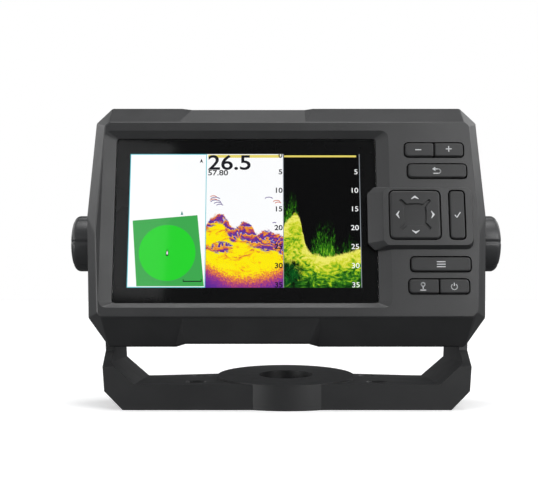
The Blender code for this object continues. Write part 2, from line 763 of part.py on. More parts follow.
def display():
    lens = prism("display_lens", lens_outline(0), LENS_RECESS, LENS_BACK, "Y")
    case_piece(lens, "lens glass")

    seal = prism("lens_seal", lens_outline(0), SEAL_FRONT, SEAL_FRONT + SEAL_THICK, "Y")
    window = lens_outline(-LENS_LEDGE + GAP, 1.0 * MM)
    cut(seal, prism("seal_window", window, SEAL_FRONT - PAST, LENS_POCKET_DEPTH + PAST, "Y"))
    case_piece(seal, "seal rubber")

    panel_left, panel_right = SCREEN_X - SCREEN_WIDTH / 2 - 2.2 * MM, SCREEN_X + SCREEN_WIDTH / 2 + 2.2 * MM
    panel_half = SCREEN_HEIGHT / 2 + 2.0 * MM
    panel = rectangle(panel_left, panel_right, -panel_half, panel_half, 0.5 * MM, 1)
    panel_back = BAY_FLOOR - 0.1 * MM
    case_piece(prism("lcd_panel", panel, SEAL_FRONT, panel_back, "Y"), "lcd glass")

    tray_half = SCREEN_HEIGHT / 2 + 4.8 * MM
    tray = (panel_left - 3.8 * MM, panel_right + 3.6 * MM, -tray_half, tray_half)
    tray_front = BAY_FLOOR + GAP
    tray_back = tray_front + 3.0 * MM
    body = prism("backlight_tray", rectangle(*tray, 1.0 * MM, 2), tray_front, tray_back, "Y")
    case_piece(body, "tray plastic")

    chassis_front = tray_back + GAP
    chassis_back = chassis_front + 1.2 * MM
    chassis = prism("lcd_chassis", rectangle(*tray, 1.0 * MM, 2), chassis_front, chassis_back, "Y")
    openings = []
    for side in (-1, 1):
        middle = SCREEN_X + side * SCREEN_WIDTH / 4
        half = SCREEN_WIDTH / 4 - 6.0 * MM
        high = SCREEN_HEIGHT / 2 - 6 * MM
        hole = rectangle(middle - half, middle + half, -high, high, 3 * MM)
        openings.append(prism("opening", hole, chassis_front - PAST, chassis_back + PAST, "Y"))
    cut(chassis, joined("chassis_openings", openings))
    case_piece(chassis, "steel")
    return chassis_back


# ------------------------------------------------------------------ keys


def key_body(name, left, right, bottom, top, front, radii, flange):
    """A key cap with its flange behind the face and the stem that presses its dome."""
    corners = [(left, bottom), (right, bottom), (right, top), (left, top)]
    base = [(x, z, radius) for (x, z), radius in zip(corners, radii)]
    flange_left, flange_right = flange
    wide = [
        (left - flange_left, bottom - KEY_FLANGE, radii[0]),
        (right + flange_right, bottom - KEY_FLANGE, radii[1]),
        (right + flange_right, top + KEY_FLANGE, radii[2]),
        (left - flange_left, top + KEY_FLANGE, radii[3]),
    ]
    count = 4 * 4
    middle_x, middle_z = (left + right) / 2, (bottom + top) / 2
    stem = circle(middle_x, middle_z, KEY_STEM_RADIUS, count, -3 * pi / 4 - 1.5 * 2 * pi / count)
    flange_back = FLANGE_FRONT + KEY_FLANGE_THICK
    cap, rim = rounded(base, 3), rounded(wide, 3)
    return loft(
        name,
        [
            at_depth(rounded(inset(base, 0.55 * MM), 3), front),
            at_depth(rounded(inset(base, 0.16 * MM), 3), front + 0.16 * MM),
            at_depth(cap, front + 0.55 * MM),
            at_depth(cap, FLANGE_FRONT),
            at_depth(rim, FLANGE_FRONT),
            at_depth(rim, flange_back),
            at_depth(stem, flange_back),
            at_depth(stem, STEM_END),
        ],
    )


def keys():
    for names, left, right, bottom, top in key_areas():
        front = -BLOCK_PROUD - 0.3 * MM if names == ("select_key",) else -KEY_PROUD
        outer = KEY_CORNER - KEY_CLEARANCE
        left, right = left + KEY_CLEARANCE, right - KEY_CLEARANCE
        bottom, top = bottom + KEY_CLEARANCE, top - KEY_CLEARANCE
        if len(names) == 1:
            body = key_body(
                names[0], left, right, bottom, top, front, [outer] * 4, (KEY_FLANGE, KEY_FLANGE)
            )
            case_piece(body, "key rubber")
            continue
        split, half_gap, inner = (left + right) / 2, 0.3 * MM, 0.7 * MM
        radii = [outer, inner, inner, outer]
        body = key_body(
            names[0], left, split - half_gap, bottom, top, front, radii, (KEY_FLANGE, 0.0)
        )
        case_piece(body, "key rubber")
        radii = [inner, outer, outer, inner]
        body = key_body(
            names[1], split + half_gap, right, bottom, top, front, radii, (0.0, KEY_FLANGE)
        )
        case_piece(body, "key rubber")


def pad_groove():
    """The cursor pad's sunk middle: an octagon with a groove running out of each slanted side."""
    left, right, bottom, top = pad_area()
    middle_x, middle_z = (left + right) / 2, (bottom + top) / 2
    across, reach, half_width = 5.2 * MM, 10.2 * MM, 0.75 * MM
    outline = []
    for quarter in range(4):
        turn = Matrix.Rotation(pi / 2 * quarter, 2)
        slant = Vector((1, 1)).normalized()
        beside = Vector((-1, 1)).normalized()
        flat_end = across * tan(radians(26))
        points = [
            Vector((across, flat_end)),
            slant * (across + 0.9 * MM) - beside * half_width,
            slant * reach - beside * half_width,
            slant * (reach + half_width),
            slant * reach + beside * half_width,
            slant * (across + 0.9 * MM) + beside * half_width,
            Vector((flat_end, across)),
        ]
        outline += [turn @ point + Vector((middle_x, middle_z)) for point in points]
    return outline


def cursor_pad():
    """The rocking cap, and the elastic post under it that lets it rock both ways."""
    left, right, bottom, top = pad_area()
    middle_x, middle_z = (left + right) / 2, (bottom + top) / 2
    left, right = left + PAD_CLEARANCE, right - PAD_CLEARANCE
    bottom, top = bottom + PAD_CLEARANCE, top - PAD_CLEARANCE
    front = -BLOCK_PROUD - 0.5 * MM
    corner = 2.2 * MM
    steps = 3
    tip = (PAD_WIDTH + PAD_HEIGHT) / 2 * sin(PAD_SWING)
    flange_front = FACE_THICK + tip + 0.3 * MM
    flange_back = flange_front + 0.8 * MM
    post_hole = ROCKER_RADIUS + 0.4 * MM
    stem_end = DOME_FRONT - GAP - PAD_STEM_REACH * sin(PAD_SWING)
    count = 4 * (steps + 1)
    hole = circle(middle_x, middle_z, post_hole, count, -3 * pi / 4 - (steps / 2) * 2 * pi / count)

    def area(grow, radius):
        return rectangle(left - grow, right + grow, bottom - grow, top + grow, radius, steps)

    body = loft(
        "cursor_pad",
        [
            at_depth(area(-0.9 * MM, corner - 0.9 * MM), front),
            at_depth(area(-0.27 * MM, corner - 0.27 * MM), front + 0.27 * MM),
            at_depth(area(0.0, corner), front + 0.9 * MM),
            at_depth(area(0.0, corner), flange_front),
            at_depth(area(KEY_FLANGE, corner), flange_front),
            at_depth(area(KEY_FLANGE, corner), flange_back),
            at_depth(hole, flange_back),
            at_depth(hole, 0.5 * MM),
        ],
    )
    pivot = Vector((middle_x, PAD_PIVOT_DEPTH, middle_z))
    origin_at(body, pivot)
    cut(body, prism("pad_groove", pad_groove(), front - PAST, front + 0.55 * MM, "Y"))
    stems = []
    for turn in range(4):
        x = middle_x + PAD_STEM_REACH * cos(turn * pi / 2)
        z = middle_z + PAD_STEM_REACH * sin(turn * pi / 2)
        start, end = (x, flange_back - 0.4 * MM, z), (x, stem_end, z)
        stems.append(cylinder("stem", start, end, KEY_STEM_RADIUS, sides=8))
    join(body, joined("pad_stems", stems))
    case_piece(body, "key rubber")

    rocker = cylinder(
        "cursor_rocker",
        (middle_x, 0.8 * MM, middle_z),
        (middle_x, KEYPAD_BOARD_FRONT - GAP, middle_z),
        ROCKER_RADIUS,
        sides=20,
    )
    case_piece(origin_at(rocker, pivot), "seal rubber")


def stem_places():
    """The middle of every stem that passes the mat, as (x, z, radius)."""
    places = []
    for names, left, right, bottom, top in key_areas():
        width = (right - left) / len(names)
        for i in range(len(names)):
            inner = (0.5 - i) * (KEY_CLEARANCE - 0.3 * MM) if len(names) == 2 else 0
            places.append((left + width * (i + 0.5) + inner, (bottom + top) / 2, KEY_STEM_RADIUS))
    left, right, bottom, top = pad_area()
    middle_x, middle_z = (left + right) / 2, (bottom + top) / 2
    for turn in range(4):
        x = middle_x + PAD_STEM_REACH * cos(turn * pi / 2)
        z = middle_z + PAD_STEM_REACH * sin(turn * pi / 2)
        places.append((x, z, KEY_STEM_RADIUS))
    return places, (middle_x, middle_z, ROCKER_RADIUS)


def keypad_layers():
    """The mat behind the keys, and the board with a dome under each stem."""
    stems, rocker = stem_places()
    mat_area = (BAY_LEFT + 0.6 * MM, BAY_RIGHT - 0.6 * MM, BAY_BOTTOM + 0.6 * MM, BAY_TOP - 0.6 * MM)
    mat_back = MAT_FRONT + MAT_THICK
    mat = prism("keypad_mat", rectangle(*mat_area, 1.6 * MM), MAT_FRONT, mat_back, "Y")
    holes = [
        cylinder("hole", (x, MAT_FRONT - PAST, z), (x, mat_back + PAST, z), radius + 0.6 * MM, sides=8)
        for x, z, radius in stems + [rocker]
    ]
    cut(mat, joined("mat_holes", holes))
    case_piece(mat, "seal rubber")

    front, back = KEYPAD_BOARD_FRONT, KEYPAD_BOARD_FRONT + 1.4 * MM
    deep = cavity_corners(FRAME_WALL + FRAME_LEDGE)
    board_right = min(BAY_RIGHT - 4.5 * MM, deep[0][0] + 2.0 * MM)
    board_area = (BAY_LEFT + 1.0 * MM, board_right, BAY_BOTTOM + 4.0 * MM, BAY_TOP - 3.0 * MM)
    board = prism("keypad_board", rectangle(*board_area, 1.0 * MM, 2), front, back, "Y")
    domes = [
        cylinder("dome", (x, front + 0.4 * MM, z), (x, DOME_FRONT, z), 2.2 * MM, 1.2 * MM, 8)
        for x, z, radius in stems
    ]
    join(board, joined("domes", domes))
    case_piece(board, "circuit board")
    return back


# ------------------------------------------------------------------ rear housing and electronics


def housing_corners():
    """The rear housing's outline where it leaves the front frame."""
    top = FLANGE_TOP - SCREW_INSET - SCREW_HEAD_RADIUS - 1.0 * MM
    bottom = FLANGE_BOTTOM + SCREW_INSET + SCREW_HEAD_RADIUS + 1.0 * MM
    right = [
        (HOUSING_HALF - 9.0 * MM, top, 1.6 * MM),
        (HOUSING_HALF - 1.0 * MM, top - 8.0 * MM, 1.6 * MM),
        (HOUSING_HALF, 5.0 * MM, 1.6 * MM),
        (HOUSING_HALF - 1.0 * MM, bottom + 8.0 * MM, 1.6 * MM),
        (HOUSING_HALF - 9.0 * MM, bottom, 1.6 * MM),
    ]
    return mirrored(right)


def housing_ring(shrink, depth):
    return at_depth(rounded(inset(housing_corners(), shrink)), depth)


def board_screw_places():
    half = HOUSING_HALF - 22.0 * MM
    return [(x, z) for z in (-32.0 * MM, 34.0 * MM) for x in (-half, half)]


def rear_housing():
    plate = at_depth(rounded(cavity_corners(FRAME_WALL + 0.5 * MM)), HOUSING_FRONT)
    plate_back = at_depth(rounded(cavity_corners(FRAME_WALL + 0.5 * MM)), HOUSING_SHOULDER)
    body = loft(
        "rear_housing",
        [
            plate,
            plate_back,
            housing_ring(0.0, HOUSING_SHOULDER),
            housing_ring(2.5 * MM, HOUSING_DEPTH - 5.0 * MM),
            housing_ring(3.8 * MM, HOUSING_DEPTH - 1.6 * MM),
            housing_ring(6.0 * MM, HOUSING_DEPTH),
        ],
    )
    low, high = PIVOT_DEPTH, -PIVOT_BELOW_SCREEN
    bosses = [
        cylinder("boss", (x - 7.5 * side * MM, low, high), (x, low, high), BOSS_RADIUS, sides=28)
        for side, x in ((-1, -BOSS_FACE), (1, BOSS_FACE))
    ]
    join(body, joined("outer_bosses", bosses))
    wall = HOUSING_WALL
    cut(
        body,
        loft(
            "tub",
            [
                housing_ring(wall, HOUSING_FRONT - PAST),
                housing_ring(wall, HOUSING_SHOULDER),
                housing_ring(wall + 2.5 * MM, HOUSING_DEPTH - wall - 2.5 * MM),
                housing_ring(wall + 4.5 * MM, HOUSING_DEPTH - wall),
            ],
        ),
    )
    insert_end = BOSS_FACE - INSERT_LENGTH - GAP
    inner = [
        cylinder(
            "inner_boss",
            (side * (insert_end - 3 * MM), low, high),
            (side * (HOUSING_HALF - 2 * MM), low, high),
            INSERT_RADIUS + 3.3 * MM,
            sides=16,
        )
        for side in (-1, 1)
    ]
    post_front = BOARD_DEPTH + BOARD_THICK + GAP
    inner += [
        cylinder("post", (x, post_front, z), (x, HOUSING_DEPTH - 1.2 * MM, z), 3.2 * MM, sides=10)
        for x, z in board_screw_places()
    ]
    join(body, joined("bosses_and_posts", inner))

    holes = [
        cylinder(
            "insert_bore",
            (side * insert_end, low, high),
            (side * (BOSS_FACE + PAST), low, high),
            INSERT_RADIUS + GAP,
            sides=20,
        )
        for side in (-1, 1)
    ]
    holes += [
        cylinder(
            "screw_hole",
            (x, HOUSING_FRONT - PAST, z),
            (x, HOUSING_SHOULDER + PAST, z),
            SCREW_RADIUS + SCREW_CLEARANCE,
            sides=12,
        )
        for x, z in screw_places()
    ]
    pilot_radius = SCREW_RADIUS + GAP / 2
    holes += [
        cylinder("pilot", (x, post_front - PAST, z), (x, post_front + 6 * MM, z), pilot_radius, sides=8)
        for x, z in board_screw_places()
    ]
    back = (HOUSING_DEPTH - wall - PAST, HOUSING_DEPTH + PAST)
    holes += [
        cylinder("socket_hole", (x, back[0], z), (x, back[1], z), SOCKET_NECK + GAP, sides=20)
        for x, z in SOCKET_PLACES.values()
    ]
    x, z = VENT_PLACE
    holes.append(cylinder("vent_hole", (x, back[0], z), (x, back[1], z), VENT_NECK + GAP, sides=10))
    cut(body, joined("housing_holes", holes))
    case_piece(body, "case plastic")


def sockets_and_vent():
    base = HOUSING_DEPTH + GAP
    mouth = base + SOCKET_LENGTH
    for name, (x, z) in SOCKET_PLACES.items():
        profile = [
            (0, 4.0 * MM),
            (SOCKET_BORE, 4.0 * MM),
            (SOCKET_BORE, SOCKET_LENGTH),
            (SOCKET_BORE + 1.8 * MM, SOCKET_LENGTH),
            (SOCKET_BORE + 2.3 * MM, SOCKET_LENGTH - 0.5 * MM),
            (SOCKET_BORE + 2.3 * MM, 2.0 * MM),
            (SOCKET_BORE + 4.3 * MM, 2.0 * MM),
            (SOCKET_BORE + 4.3 * MM, 0.0),
            (SOCKET_NECK, 0.0),
            (SOCKET_NECK, -HOUSING_WALL - 2.0 * MM),
            (0, -HOUSING_WALL - 2.0 * MM),
        ]
        body = turned(name, profile, (x, base, z), (0, 1, 0), 20)
        pins = []
        for turn in range(4):
            px = x + PIN_CIRCLE * cos(turn * pi / 2)
            pz = z + PIN_CIRCLE * sin(turn * pi / 2)
            start, end = (px, base + 3.0 * MM, pz), (px, mouth - 3.0 * MM, pz)
            pins.append(cylinder("pin", start, end, 0.8 * MM, sides=6))
        join(body, joined(name + "_pins", pins))
        case_piece(body, "socket plastic")

    x, z = VENT_PLACE
    profile = [
        (0, 1.4 * MM),
        (3.6 * MM, 1.4 * MM),
        (4.4 * MM, 0.6 * MM),
        (4.4 * MM, 0.0),
        (VENT_NECK, 0.0),
        (VENT_NECK, -HOUSING_WALL - 1.0 * MM),
        (0, -HOUSING_WALL - 1.0 * MM),
    ]
    vent = turned("pressure_vent", profile, (x, base, z), (0, 1, 0), 16)
    slots = [
        box("slot", (x - 2.4 * MM, base + 0.8 * MM, low), (x + 2.4 * MM, base + 3 * MM, low + 0.7 * MM))
        for low in (z - 1.95 * MM, z - 0.35 * MM, z + 1.25 * MM)
    ]
    cut(vent, joined("vent_slots", slots))
    case_piece(vent, "socket plastic")


def housing_seal():
    outer = rounded(cavity_corners(FRAME_WALL + 0.5 * MM))
    inner = rounded(cavity_corners(FRAME_WALL + FRAME_LEDGE - 0.4 * MM))
    back = SEAL_REAR_FRONT + HOUSING_SEAL_THICK
    seal = prism("housing_seal", outer, SEAL_REAR_FRONT, back, "Y")
    cut(seal, prism("seal_middle", inner, SEAL_REAR_FRONT - PAST, back + PAST, "Y"))
    radius = SCREW_RADIUS + SCREW_CLEARANCE
    holes = [
        cylinder("hole", (x, SEAL_REAR_FRONT - PAST, z), (x, back + PAST, z), radius, sides=8)
        for x, z in screw_places()
    ]
    cut(seal, joined("seal_screw_holes", holes))
    case_piece(seal, "seal rubber")


def screw(name, x, z, head_front, length):
    """A pan-head screw driven from behind, with a hexagonal socket."""
    top = SCREW_HEAD_HEIGHT
    profile = [
        (0, top),
        (SCREW_HEAD_RADIUS - 0.5 * MM, top),
        (SCREW_HEAD_RADIUS, top - 0.5 * MM),
        (SCREW_HEAD_RADIUS, 0),
        (SCREW_RADIUS, 0),
        (SCREW_RADIUS, 0.6 * MM - length),
        (SCREW_RADIUS - 0.5 * MM, -length),
        (0, -length),
    ]
    body = turned(name, profile, (x, head_front, z), (0, 1, 0), 10)
    start, end = (x, head_front + top - 0.9 * MM, z), (x, head_front + top + PAST, z)
    cut(body, cylinder(name + "_socket", start, end, 1.1 * MM, sides=6))
    case_piece(body, "stainless steel")


def screws():
    head = HOUSING_SHOULDER + GAP
    for number, (x, z) in enumerate(screw_places(), 1):
        screw(f"case_screw_{number}", x, z, head, head - LEDGE_DEPTH + 3.4 * MM)


def board_screws():
    for number, (x, z) in enumerate(board_screw_places(), 1):
        top = SCREW_HEAD_HEIGHT
        length = BOARD_THICK + 2 * GAP + 5.0 * MM
        profile = [
            (0, top),
            (SCREW_HEAD_RADIUS, top),
            (SCREW_HEAD_RADIUS, 0),
            (SCREW_RADIUS, 0),
            (SCREW_RADIUS, -length),
            (0, -length),
        ]
        body = turned(f"board_screw_{number}", profile, (x, BOARD_DEPTH - GAP, z), (0, -1, 0), 8)
        case_piece(body, "stainless steel")


def electronics(chassis_back, keypad_back):
    half = HOUSING_HALF - 12.0 * MM
    bottom, top = -38.0 * MM, 40.0 * MM
    front, back = BOARD_DEPTH, BOARD_DEPTH + BOARD_THICK
    board = prism("main_board", rectangle(-half, half, bottom, top, 2 * MM, 2), front, back, "Y")
    holes = [
        cylinder("hole", (x, front - PAST, z), (x, back + PAST, z), SCREW_RADIUS + SCREW_CLEARANCE, sides=8)
        for x, z in board_screw_places()
    ]
    cut(board, joined("board_holes", holes))
    case_piece(board, "circuit board")

    on_board = front - GAP
    shield = rectangle(-34.0 * MM, 0.0, -14.0 * MM, 16.0 * MM, 1.0 * MM, 2)
    case_piece(prism("processor_shield", shield, on_board - 3.0 * MM, on_board, "Y"), "steel")
    patch = rectangle(28.0 * MM, 46.0 * MM, 20.0 * MM, 38.0 * MM, 1.0 * MM, 2)
    case_piece(prism("gps_antenna", patch, on_board - 4.0 * MM, on_board, "Y"), "ceramic")
    buzzer = turned(
        "buzzer",
        [
            (0, 4.0 * MM),
            (1.2 * MM, 4.0 * MM),
            (1.2 * MM, 5.0 * MM),
            (6.0 * MM, 5.0 * MM),
            (6.0 * MM, 0),
            (0, 0),
        ],
        (40.0 * MM, back + GAP, 8.0 * MM),
        (0, 1, 0),
        16,
    )
    case_piece(buzzer, "socket plastic")

    first, last = chassis_back + GAP + 0.2 * MM, on_board - 0.2 * MM
    middle = (first + last) / 2
    path = [
        (first, -8.0 * MM),
        (first, -24.0 * MM),
        (first + 1.2 * MM, -26.4 * MM),
        (middle, -27.4 * MM),
        (last - 1.2 * MM, -28.4 * MM),
        (last, -30.8 * MM),
        (last, -36.0 * MM),
    ]
    case_piece(strip("display_ribbon", path, 0.3 * MM, -12.0 * MM, 10.0 * MM), "ribbon")
    first = keypad_back + GAP + 0.2 * MM
    middle = (first + last) / 2
    path = [
        (first, -2.0 * MM),
        (first, -14.0 * MM),
        (first + 1.2 * MM, -16.4 * MM),
        (middle, -17.4 * MM),
        (last - 1.2 * MM, -18.4 * MM),
        (last, -20.8 * MM),
        (last, -26.0 * MM),
    ]
    low_x = BAY_LEFT + 4.0 * MM
    case_piece(strip("keypad_ribbon", path, 0.3 * MM, low_x, low_x + 9.0 * MM), "ribbon")


# ------------------------------------------------------------------ knobs


def knob(side, label):
    """One knob: cap, stud, captive clamp washer, friction washer and the insert it screws into."""
    hole = STUD_RADIUS + GAP
    outward = (side, 0, 0)
    length, radius = KNOB_LENGTH, KNOB_RADIUS
    dome = [
        (radius * 0.88 * cos(a), length - 1.2 * MM + 1.2 * MM * sin(a))
        for a in [pi / 2 - pi / 2 * k / 3 for k in range(4)]
    ]
    edge = [
        (radius * 0.88 + radius * 0.12 * sin(a), length - 1.2 * MM - 2.6 * MM * (1 - cos(a)))
        for a in [pi / 2 * k / 2 for k in range(1, 3)]
    ]
    bore = STUD_END - KNOB_X + GAP
    profile = dome + edge + [
        (radius, 3.0 * MM),
        (radius - 1.2 * MM, 0.0),
        (hole, 0.0),
        (hole, bore),
        (0, bore),
    ]
    place_x = (side * KNOB_X, 0, 0)
    body = turned(f"{label}_knob", profile, place_x, outward, 36)
    flutes = []
    flute_middle = radius + FLUTE_RADIUS - FLUTE_DEPTH
    for k in range(KNOB_FLUTES):
        angle = 2 * pi * k / KNOB_FLUTES
        y, z = flute_middle * cos(angle), flute_middle * sin(angle)
        start, end = side * (KNOB_X - PAST), side * (KNOB_X + length + PAST)
        flutes.append(cylinder("flute", (start, y, z), (end, y, z), FLUTE_RADIUS, sides=8))
    cut(body, joined(f"{label}_flutes", flutes))
    place(body, "knob plastic", CASE)

    stud = turned(
        f"{label}_stud",
        [
            (0, STUD_END),
            (STUD_RADIUS, STUD_END),
            (STUD_RADIUS, STUD_START + 0.8 * MM),
            (STUD_RADIUS - 0.8 * MM, STUD_START),
            (0, STUD_START),
        ],
        (0, 0, 0),
        outward,
        16,
    )
    place(stud, "stainless steel", CASE)
    rings = {
        "clamp_washer": (CLAMP_WASHER_X, CLAMP_WASHER_X + CLAMP_WASHER_THICK, 9.5 * MM, "stainless steel"),
        "friction_washer": (BOSS_FACE + GAP, ARM_INNER - GAP, BOSS_RADIUS - 0.5 * MM, "seal rubber"),
        "insert": (BOSS_FACE - INSERT_LENGTH, BOSS_FACE - GAP, INSERT_RADIUS, "brass"),
    }
    for part, (near, far, outer, material) in rings.items():
        low, high = sorted((side * near, side * far))
        place(washer(f"{label}_{part}", low, high, hole, outer), material, CASE)


# ------------------------------------------------------------------ assembly


def make_material(name, colour, roughness, metallic=0.0):
    material = bpy.data.materials.new(name)
    material.use_nodes = True
    shader = material.node_tree.nodes["Principled BSDF"]
    shader.inputs["Base Color"].default_value = (*colour, 1)
    shader.inputs["Roughness"].default_value = roughness
    shader.inputs["Metallic"].default_value = metallic
    return material


for old in list(bpy.data.objects):
    bpy.data.objects.remove(old)

PIECES = bpy.data.collections.new("chartplotter display")
CUTTERS = bpy.data.collections.new("cutters")
for collection in (PIECES, CUTTERS):
    bpy.context.scene.collection.children.link(collection)

MATERIALS = {
    name: make_material(name, *look)
    for name, look in {
        "case plastic": ((0.040, 0.041, 0.042), 0.55),
        "bracket plastic": ((0.024, 0.025, 0.026), 0.6),
        "knob plastic": ((0.028, 0.029, 0.030), 0.5),
        "key rubber": ((0.022, 0.023, 0.024), 0.6),
        "lens glass": ((0.010, 0.011, 0.012), 0.06),
        "lcd glass": ((0.02, 0.02, 0.025), 0.2),
        "seal rubber": ((0.015, 0.015, 0.015), 0.8),
        "socket plastic": ((0.02, 0.02, 0.02), 0.45),
        "tray plastic": ((0.8, 0.8, 0.8), 0.5),
        "circuit board": ((0.02, 0.13, 0.05), 0.45),
        "ceramic": ((0.55, 0.48, 0.38), 0.5),
        "ribbon": ((0.45, 0.22, 0.03), 0.4),
        "steel": ((0.55, 0.56, 0.57), 0.35, 1.0),
        "stainless steel": ((0.60, 0.60, 0.59), 0.3, 1.0),
        "brass": ((0.72, 0.53, 0.22), 0.3, 1.0),
    }.items()
}

CASE = bpy.data.objects.new("case_tilt_axis", None)
PIECES.objects.link(CASE)
CASE.location = (0, 0, PIVOT_HEIGHT)
CASE.rotation_euler.x = -CASE_LEAN

bail_bracket()
front_frame()
chassis_end = display()
keys()
cursor_pad()
keypad_end = keypad_layers()
rear_housing()
sockets_and_vent()
housing_seal()
screws()
board_screws()
electronics(chassis_end, keypad_end)
for knob_side, knob_label in ((-1, "left"), (1, "right")):
    knob(knob_side, knob_label)
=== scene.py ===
"""Looks of the chartplotter display: finishes, fine surfaces, lit picture, key symbols and a plain studio.

Metres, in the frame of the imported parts: +Z up, the front faces -Y. Case details are drawn in the case's
own frame, where X is to the right, Y the depth behind the front plane and Z the height above the middle of
the screen, and CASE_MATRIX puts them in place.
"""

import json
from math import atan2, cos, pi, radians, sin, tan

import bmesh
import bpy
from mathutils import Matrix, Vector


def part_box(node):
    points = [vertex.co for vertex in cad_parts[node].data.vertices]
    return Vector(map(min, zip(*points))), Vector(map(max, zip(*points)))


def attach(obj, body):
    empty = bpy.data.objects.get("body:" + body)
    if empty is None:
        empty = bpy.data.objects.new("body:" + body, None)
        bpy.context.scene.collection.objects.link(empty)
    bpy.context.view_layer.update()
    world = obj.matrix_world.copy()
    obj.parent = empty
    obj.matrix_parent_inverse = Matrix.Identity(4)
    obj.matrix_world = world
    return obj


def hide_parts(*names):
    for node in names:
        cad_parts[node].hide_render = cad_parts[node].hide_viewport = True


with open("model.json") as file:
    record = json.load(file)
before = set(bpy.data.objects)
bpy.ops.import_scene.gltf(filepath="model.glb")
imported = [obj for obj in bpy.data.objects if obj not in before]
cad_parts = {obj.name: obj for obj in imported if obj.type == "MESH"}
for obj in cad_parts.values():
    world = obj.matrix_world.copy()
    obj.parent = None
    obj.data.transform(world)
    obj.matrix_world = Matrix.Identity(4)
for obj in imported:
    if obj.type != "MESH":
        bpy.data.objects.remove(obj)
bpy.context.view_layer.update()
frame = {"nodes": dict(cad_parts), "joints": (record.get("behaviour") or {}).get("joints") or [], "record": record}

MM = 0.001

# The case's place: the tilt joint's point, and where it lies in the case's own frame.
TILT = next(joint for joint in frame["joints"] if joint["name"] == "case_tilt")
PIVOT = Vector(TILT["pos_m"])
CASE_LEAN = radians(6.2)
PIVOT_DEPTH = 36.3 * MM
PIVOT_BELOW_SCREEN = 4.1 * MM
CASE_MATRIX = (
    Matrix.Translation(PIVOT)
    @ Matrix.Rotation(-CASE_LEAN, 4, "X")
    @ Matrix.Translation((0, -PIVOT_DEPTH, PIVOT_BELOW_SCREEN))
)

# Places and sizes of the lit picture, lens, keys, cursor pad and knobs.
PICTURE_LEFT = -74.3 * MM
PICTURE_BOTTOM = -30.4 * MM
PICTURE_WIDTH = 109.0 * MM
PICTURE_HEIGHT = 64.0 * MM
LENS = (-80.5 * MM, 42.0 * MM, -37.8 * MM, 40.4 * MM)
LENS_BACK = 4.2 * MM
LCD_FRONT = 4.5 * MM
ROW_KEY_FRONT = -0.8 * MM
SELECT_FRONT = -2.8 * MM
PAD_FRONT = -3.0 * MM
PAD_MIDDLE = (59.05 * MM, 2.6 * MM)
PAD_WIDTH = 23.3 * MM
PAD_HEIGHT = 22.75 * MM
PAD_CORNER = 2.2 * MM
KNOB_X = 90.0 * MM
KNOB_LENGTH = 16.4 * MM
KNOB_RADIUS = 14.0 * MM
STUD_HOLE = 3.3 * MM
PAST = 1.0 * MM  # how far a cutter runs past what it cuts

# The cursor pad's cap, its rounded edge and its sunk middle.
SUNK_DEPTH = 0.85 * MM
SUNK_HALF_WIDTH = 5.2 * MM
GROOVE_REACH = 9.0 * MM
GROOVE_HALF_WIDTH = 0.8 * MM
CAP_EDGE = 1.0 * MM
CAP_DEPTH = 4.8 * MM

# The depth scale, in shares of the picture's height: where depth zero lies, the step for each five units, how
# far a number's base line is below its mark, and the zero's own mark, which is drawn a little lower.
SCALE_TOP = 0.998
SCALE_STEP = 0.1405
SCALE_DROP = 0.012
SCALE_ZERO = 0.985
SCALE_DIGIT = 2.35 * MM
DIGIT_SHARE = 0.69  # a digit's height over the font's size, about

# The camera: in front, low and almost level, looking slightly up.
CAMERA_PLACE = (-8.4 * MM, -414.0 * MM, 51.0 * MM)
CAMERA_PITCH = radians(93.84)
CAMERA_LENS = 54.8


# ------------------------------------------------------------------ shapes


def corner_arc(before, corner, after, radius, steps):
    back, ahead = (before - corner).normalized(), (after - corner).normalized()
    half = back.angle(ahead) / 2
    reach = radius / tan(half)
    centre = corner + (back + ahead).normalized() * (radius / sin(half))
    first = corner + back * reach - centre
    last = corner + ahead * reach - centre
    turn = atan2(first.x * last.y - first.y * last.x, first.dot(last))
    return [centre + Matrix.Rotation(turn * k / steps, 2) @ first for k in range(steps + 1)]


def rounded(corners, steps=6):
    """A closed outline from (x, y, radius) corners."""
    flat = [Vector(corner[:2]) for corner in corners]
    points = []
    for i, (_, _, radius) in enumerate(corners):
        if radius == 0:
            points.append(flat[i])
        else:
            points += corner_arc(flat[i - 1], flat[i], flat[(i + 1) % len(flat)], radius, steps)
    return points


def rectangle(left, right, bottom, top, radius=0.0, steps=6):
    corners = ((left, bottom), (right, bottom), (right, top), (left, top))
    return rounded([(x, y, radius) for x, y in corners], steps)


def circle(x, y, radius, count=48):
    angles = [2 * pi * k / count for k in range(count)]
    return [Vector((x + radius * cos(a), y + radius * sin(a))) for a in angles]


def new_object(name, mesh):
    obj = bpy.data.objects.new(name, mesh)
    bpy.context.scene.collection.objects.link(obj)
    return obj


def object_from(name, bm):
    bmesh.ops.recalc_face_normals(bm, faces=bm.faces)
    mesh = bpy.data.meshes.new(name)
    bm.to_mesh(mesh)
    bm.free()
    return new_object(name, mesh)


def plates(name, outlines, front, thick):
    """Flat outlines in the case's XZ plane, each extruded back from the front depth."""
    bm = bmesh.new()
    for outline in outlines:
        near = [bm.verts.new((p[0], front, p[1])) for p in outline]
        far = [bm.verts.new((p[0], front + thick, p[1])) for p in outline]
        bm.faces.new(near)
        bm.faces.new(far[::-1])
        for i in range(len(outline)):
            j = (i + 1) % len(outline)
            bm.faces.new((near[i], far[i], far[j], near[j]))
    return object_from(name, bm)


def ring_plate(name, outer, inner, front, thick):
    """A flat ring between two outlines with the same number of points."""
    bm = bmesh.new()
    loops = []
    for outline, depth in ((outer, front), (inner, front), (inner, front + thick), (outer, front + thick)):
        loops.append([bm.verts.new((p[0], depth, p[1])) for p in outline])
    count = len(outer)
    for a, b in zip(loops, loops[1:] + loops[:1]):
        for i in range(count):
            j = (i + 1) % count
            bm.faces.new((a[i], a[j], b[j], b[i]))
    return object_from(name, bm)


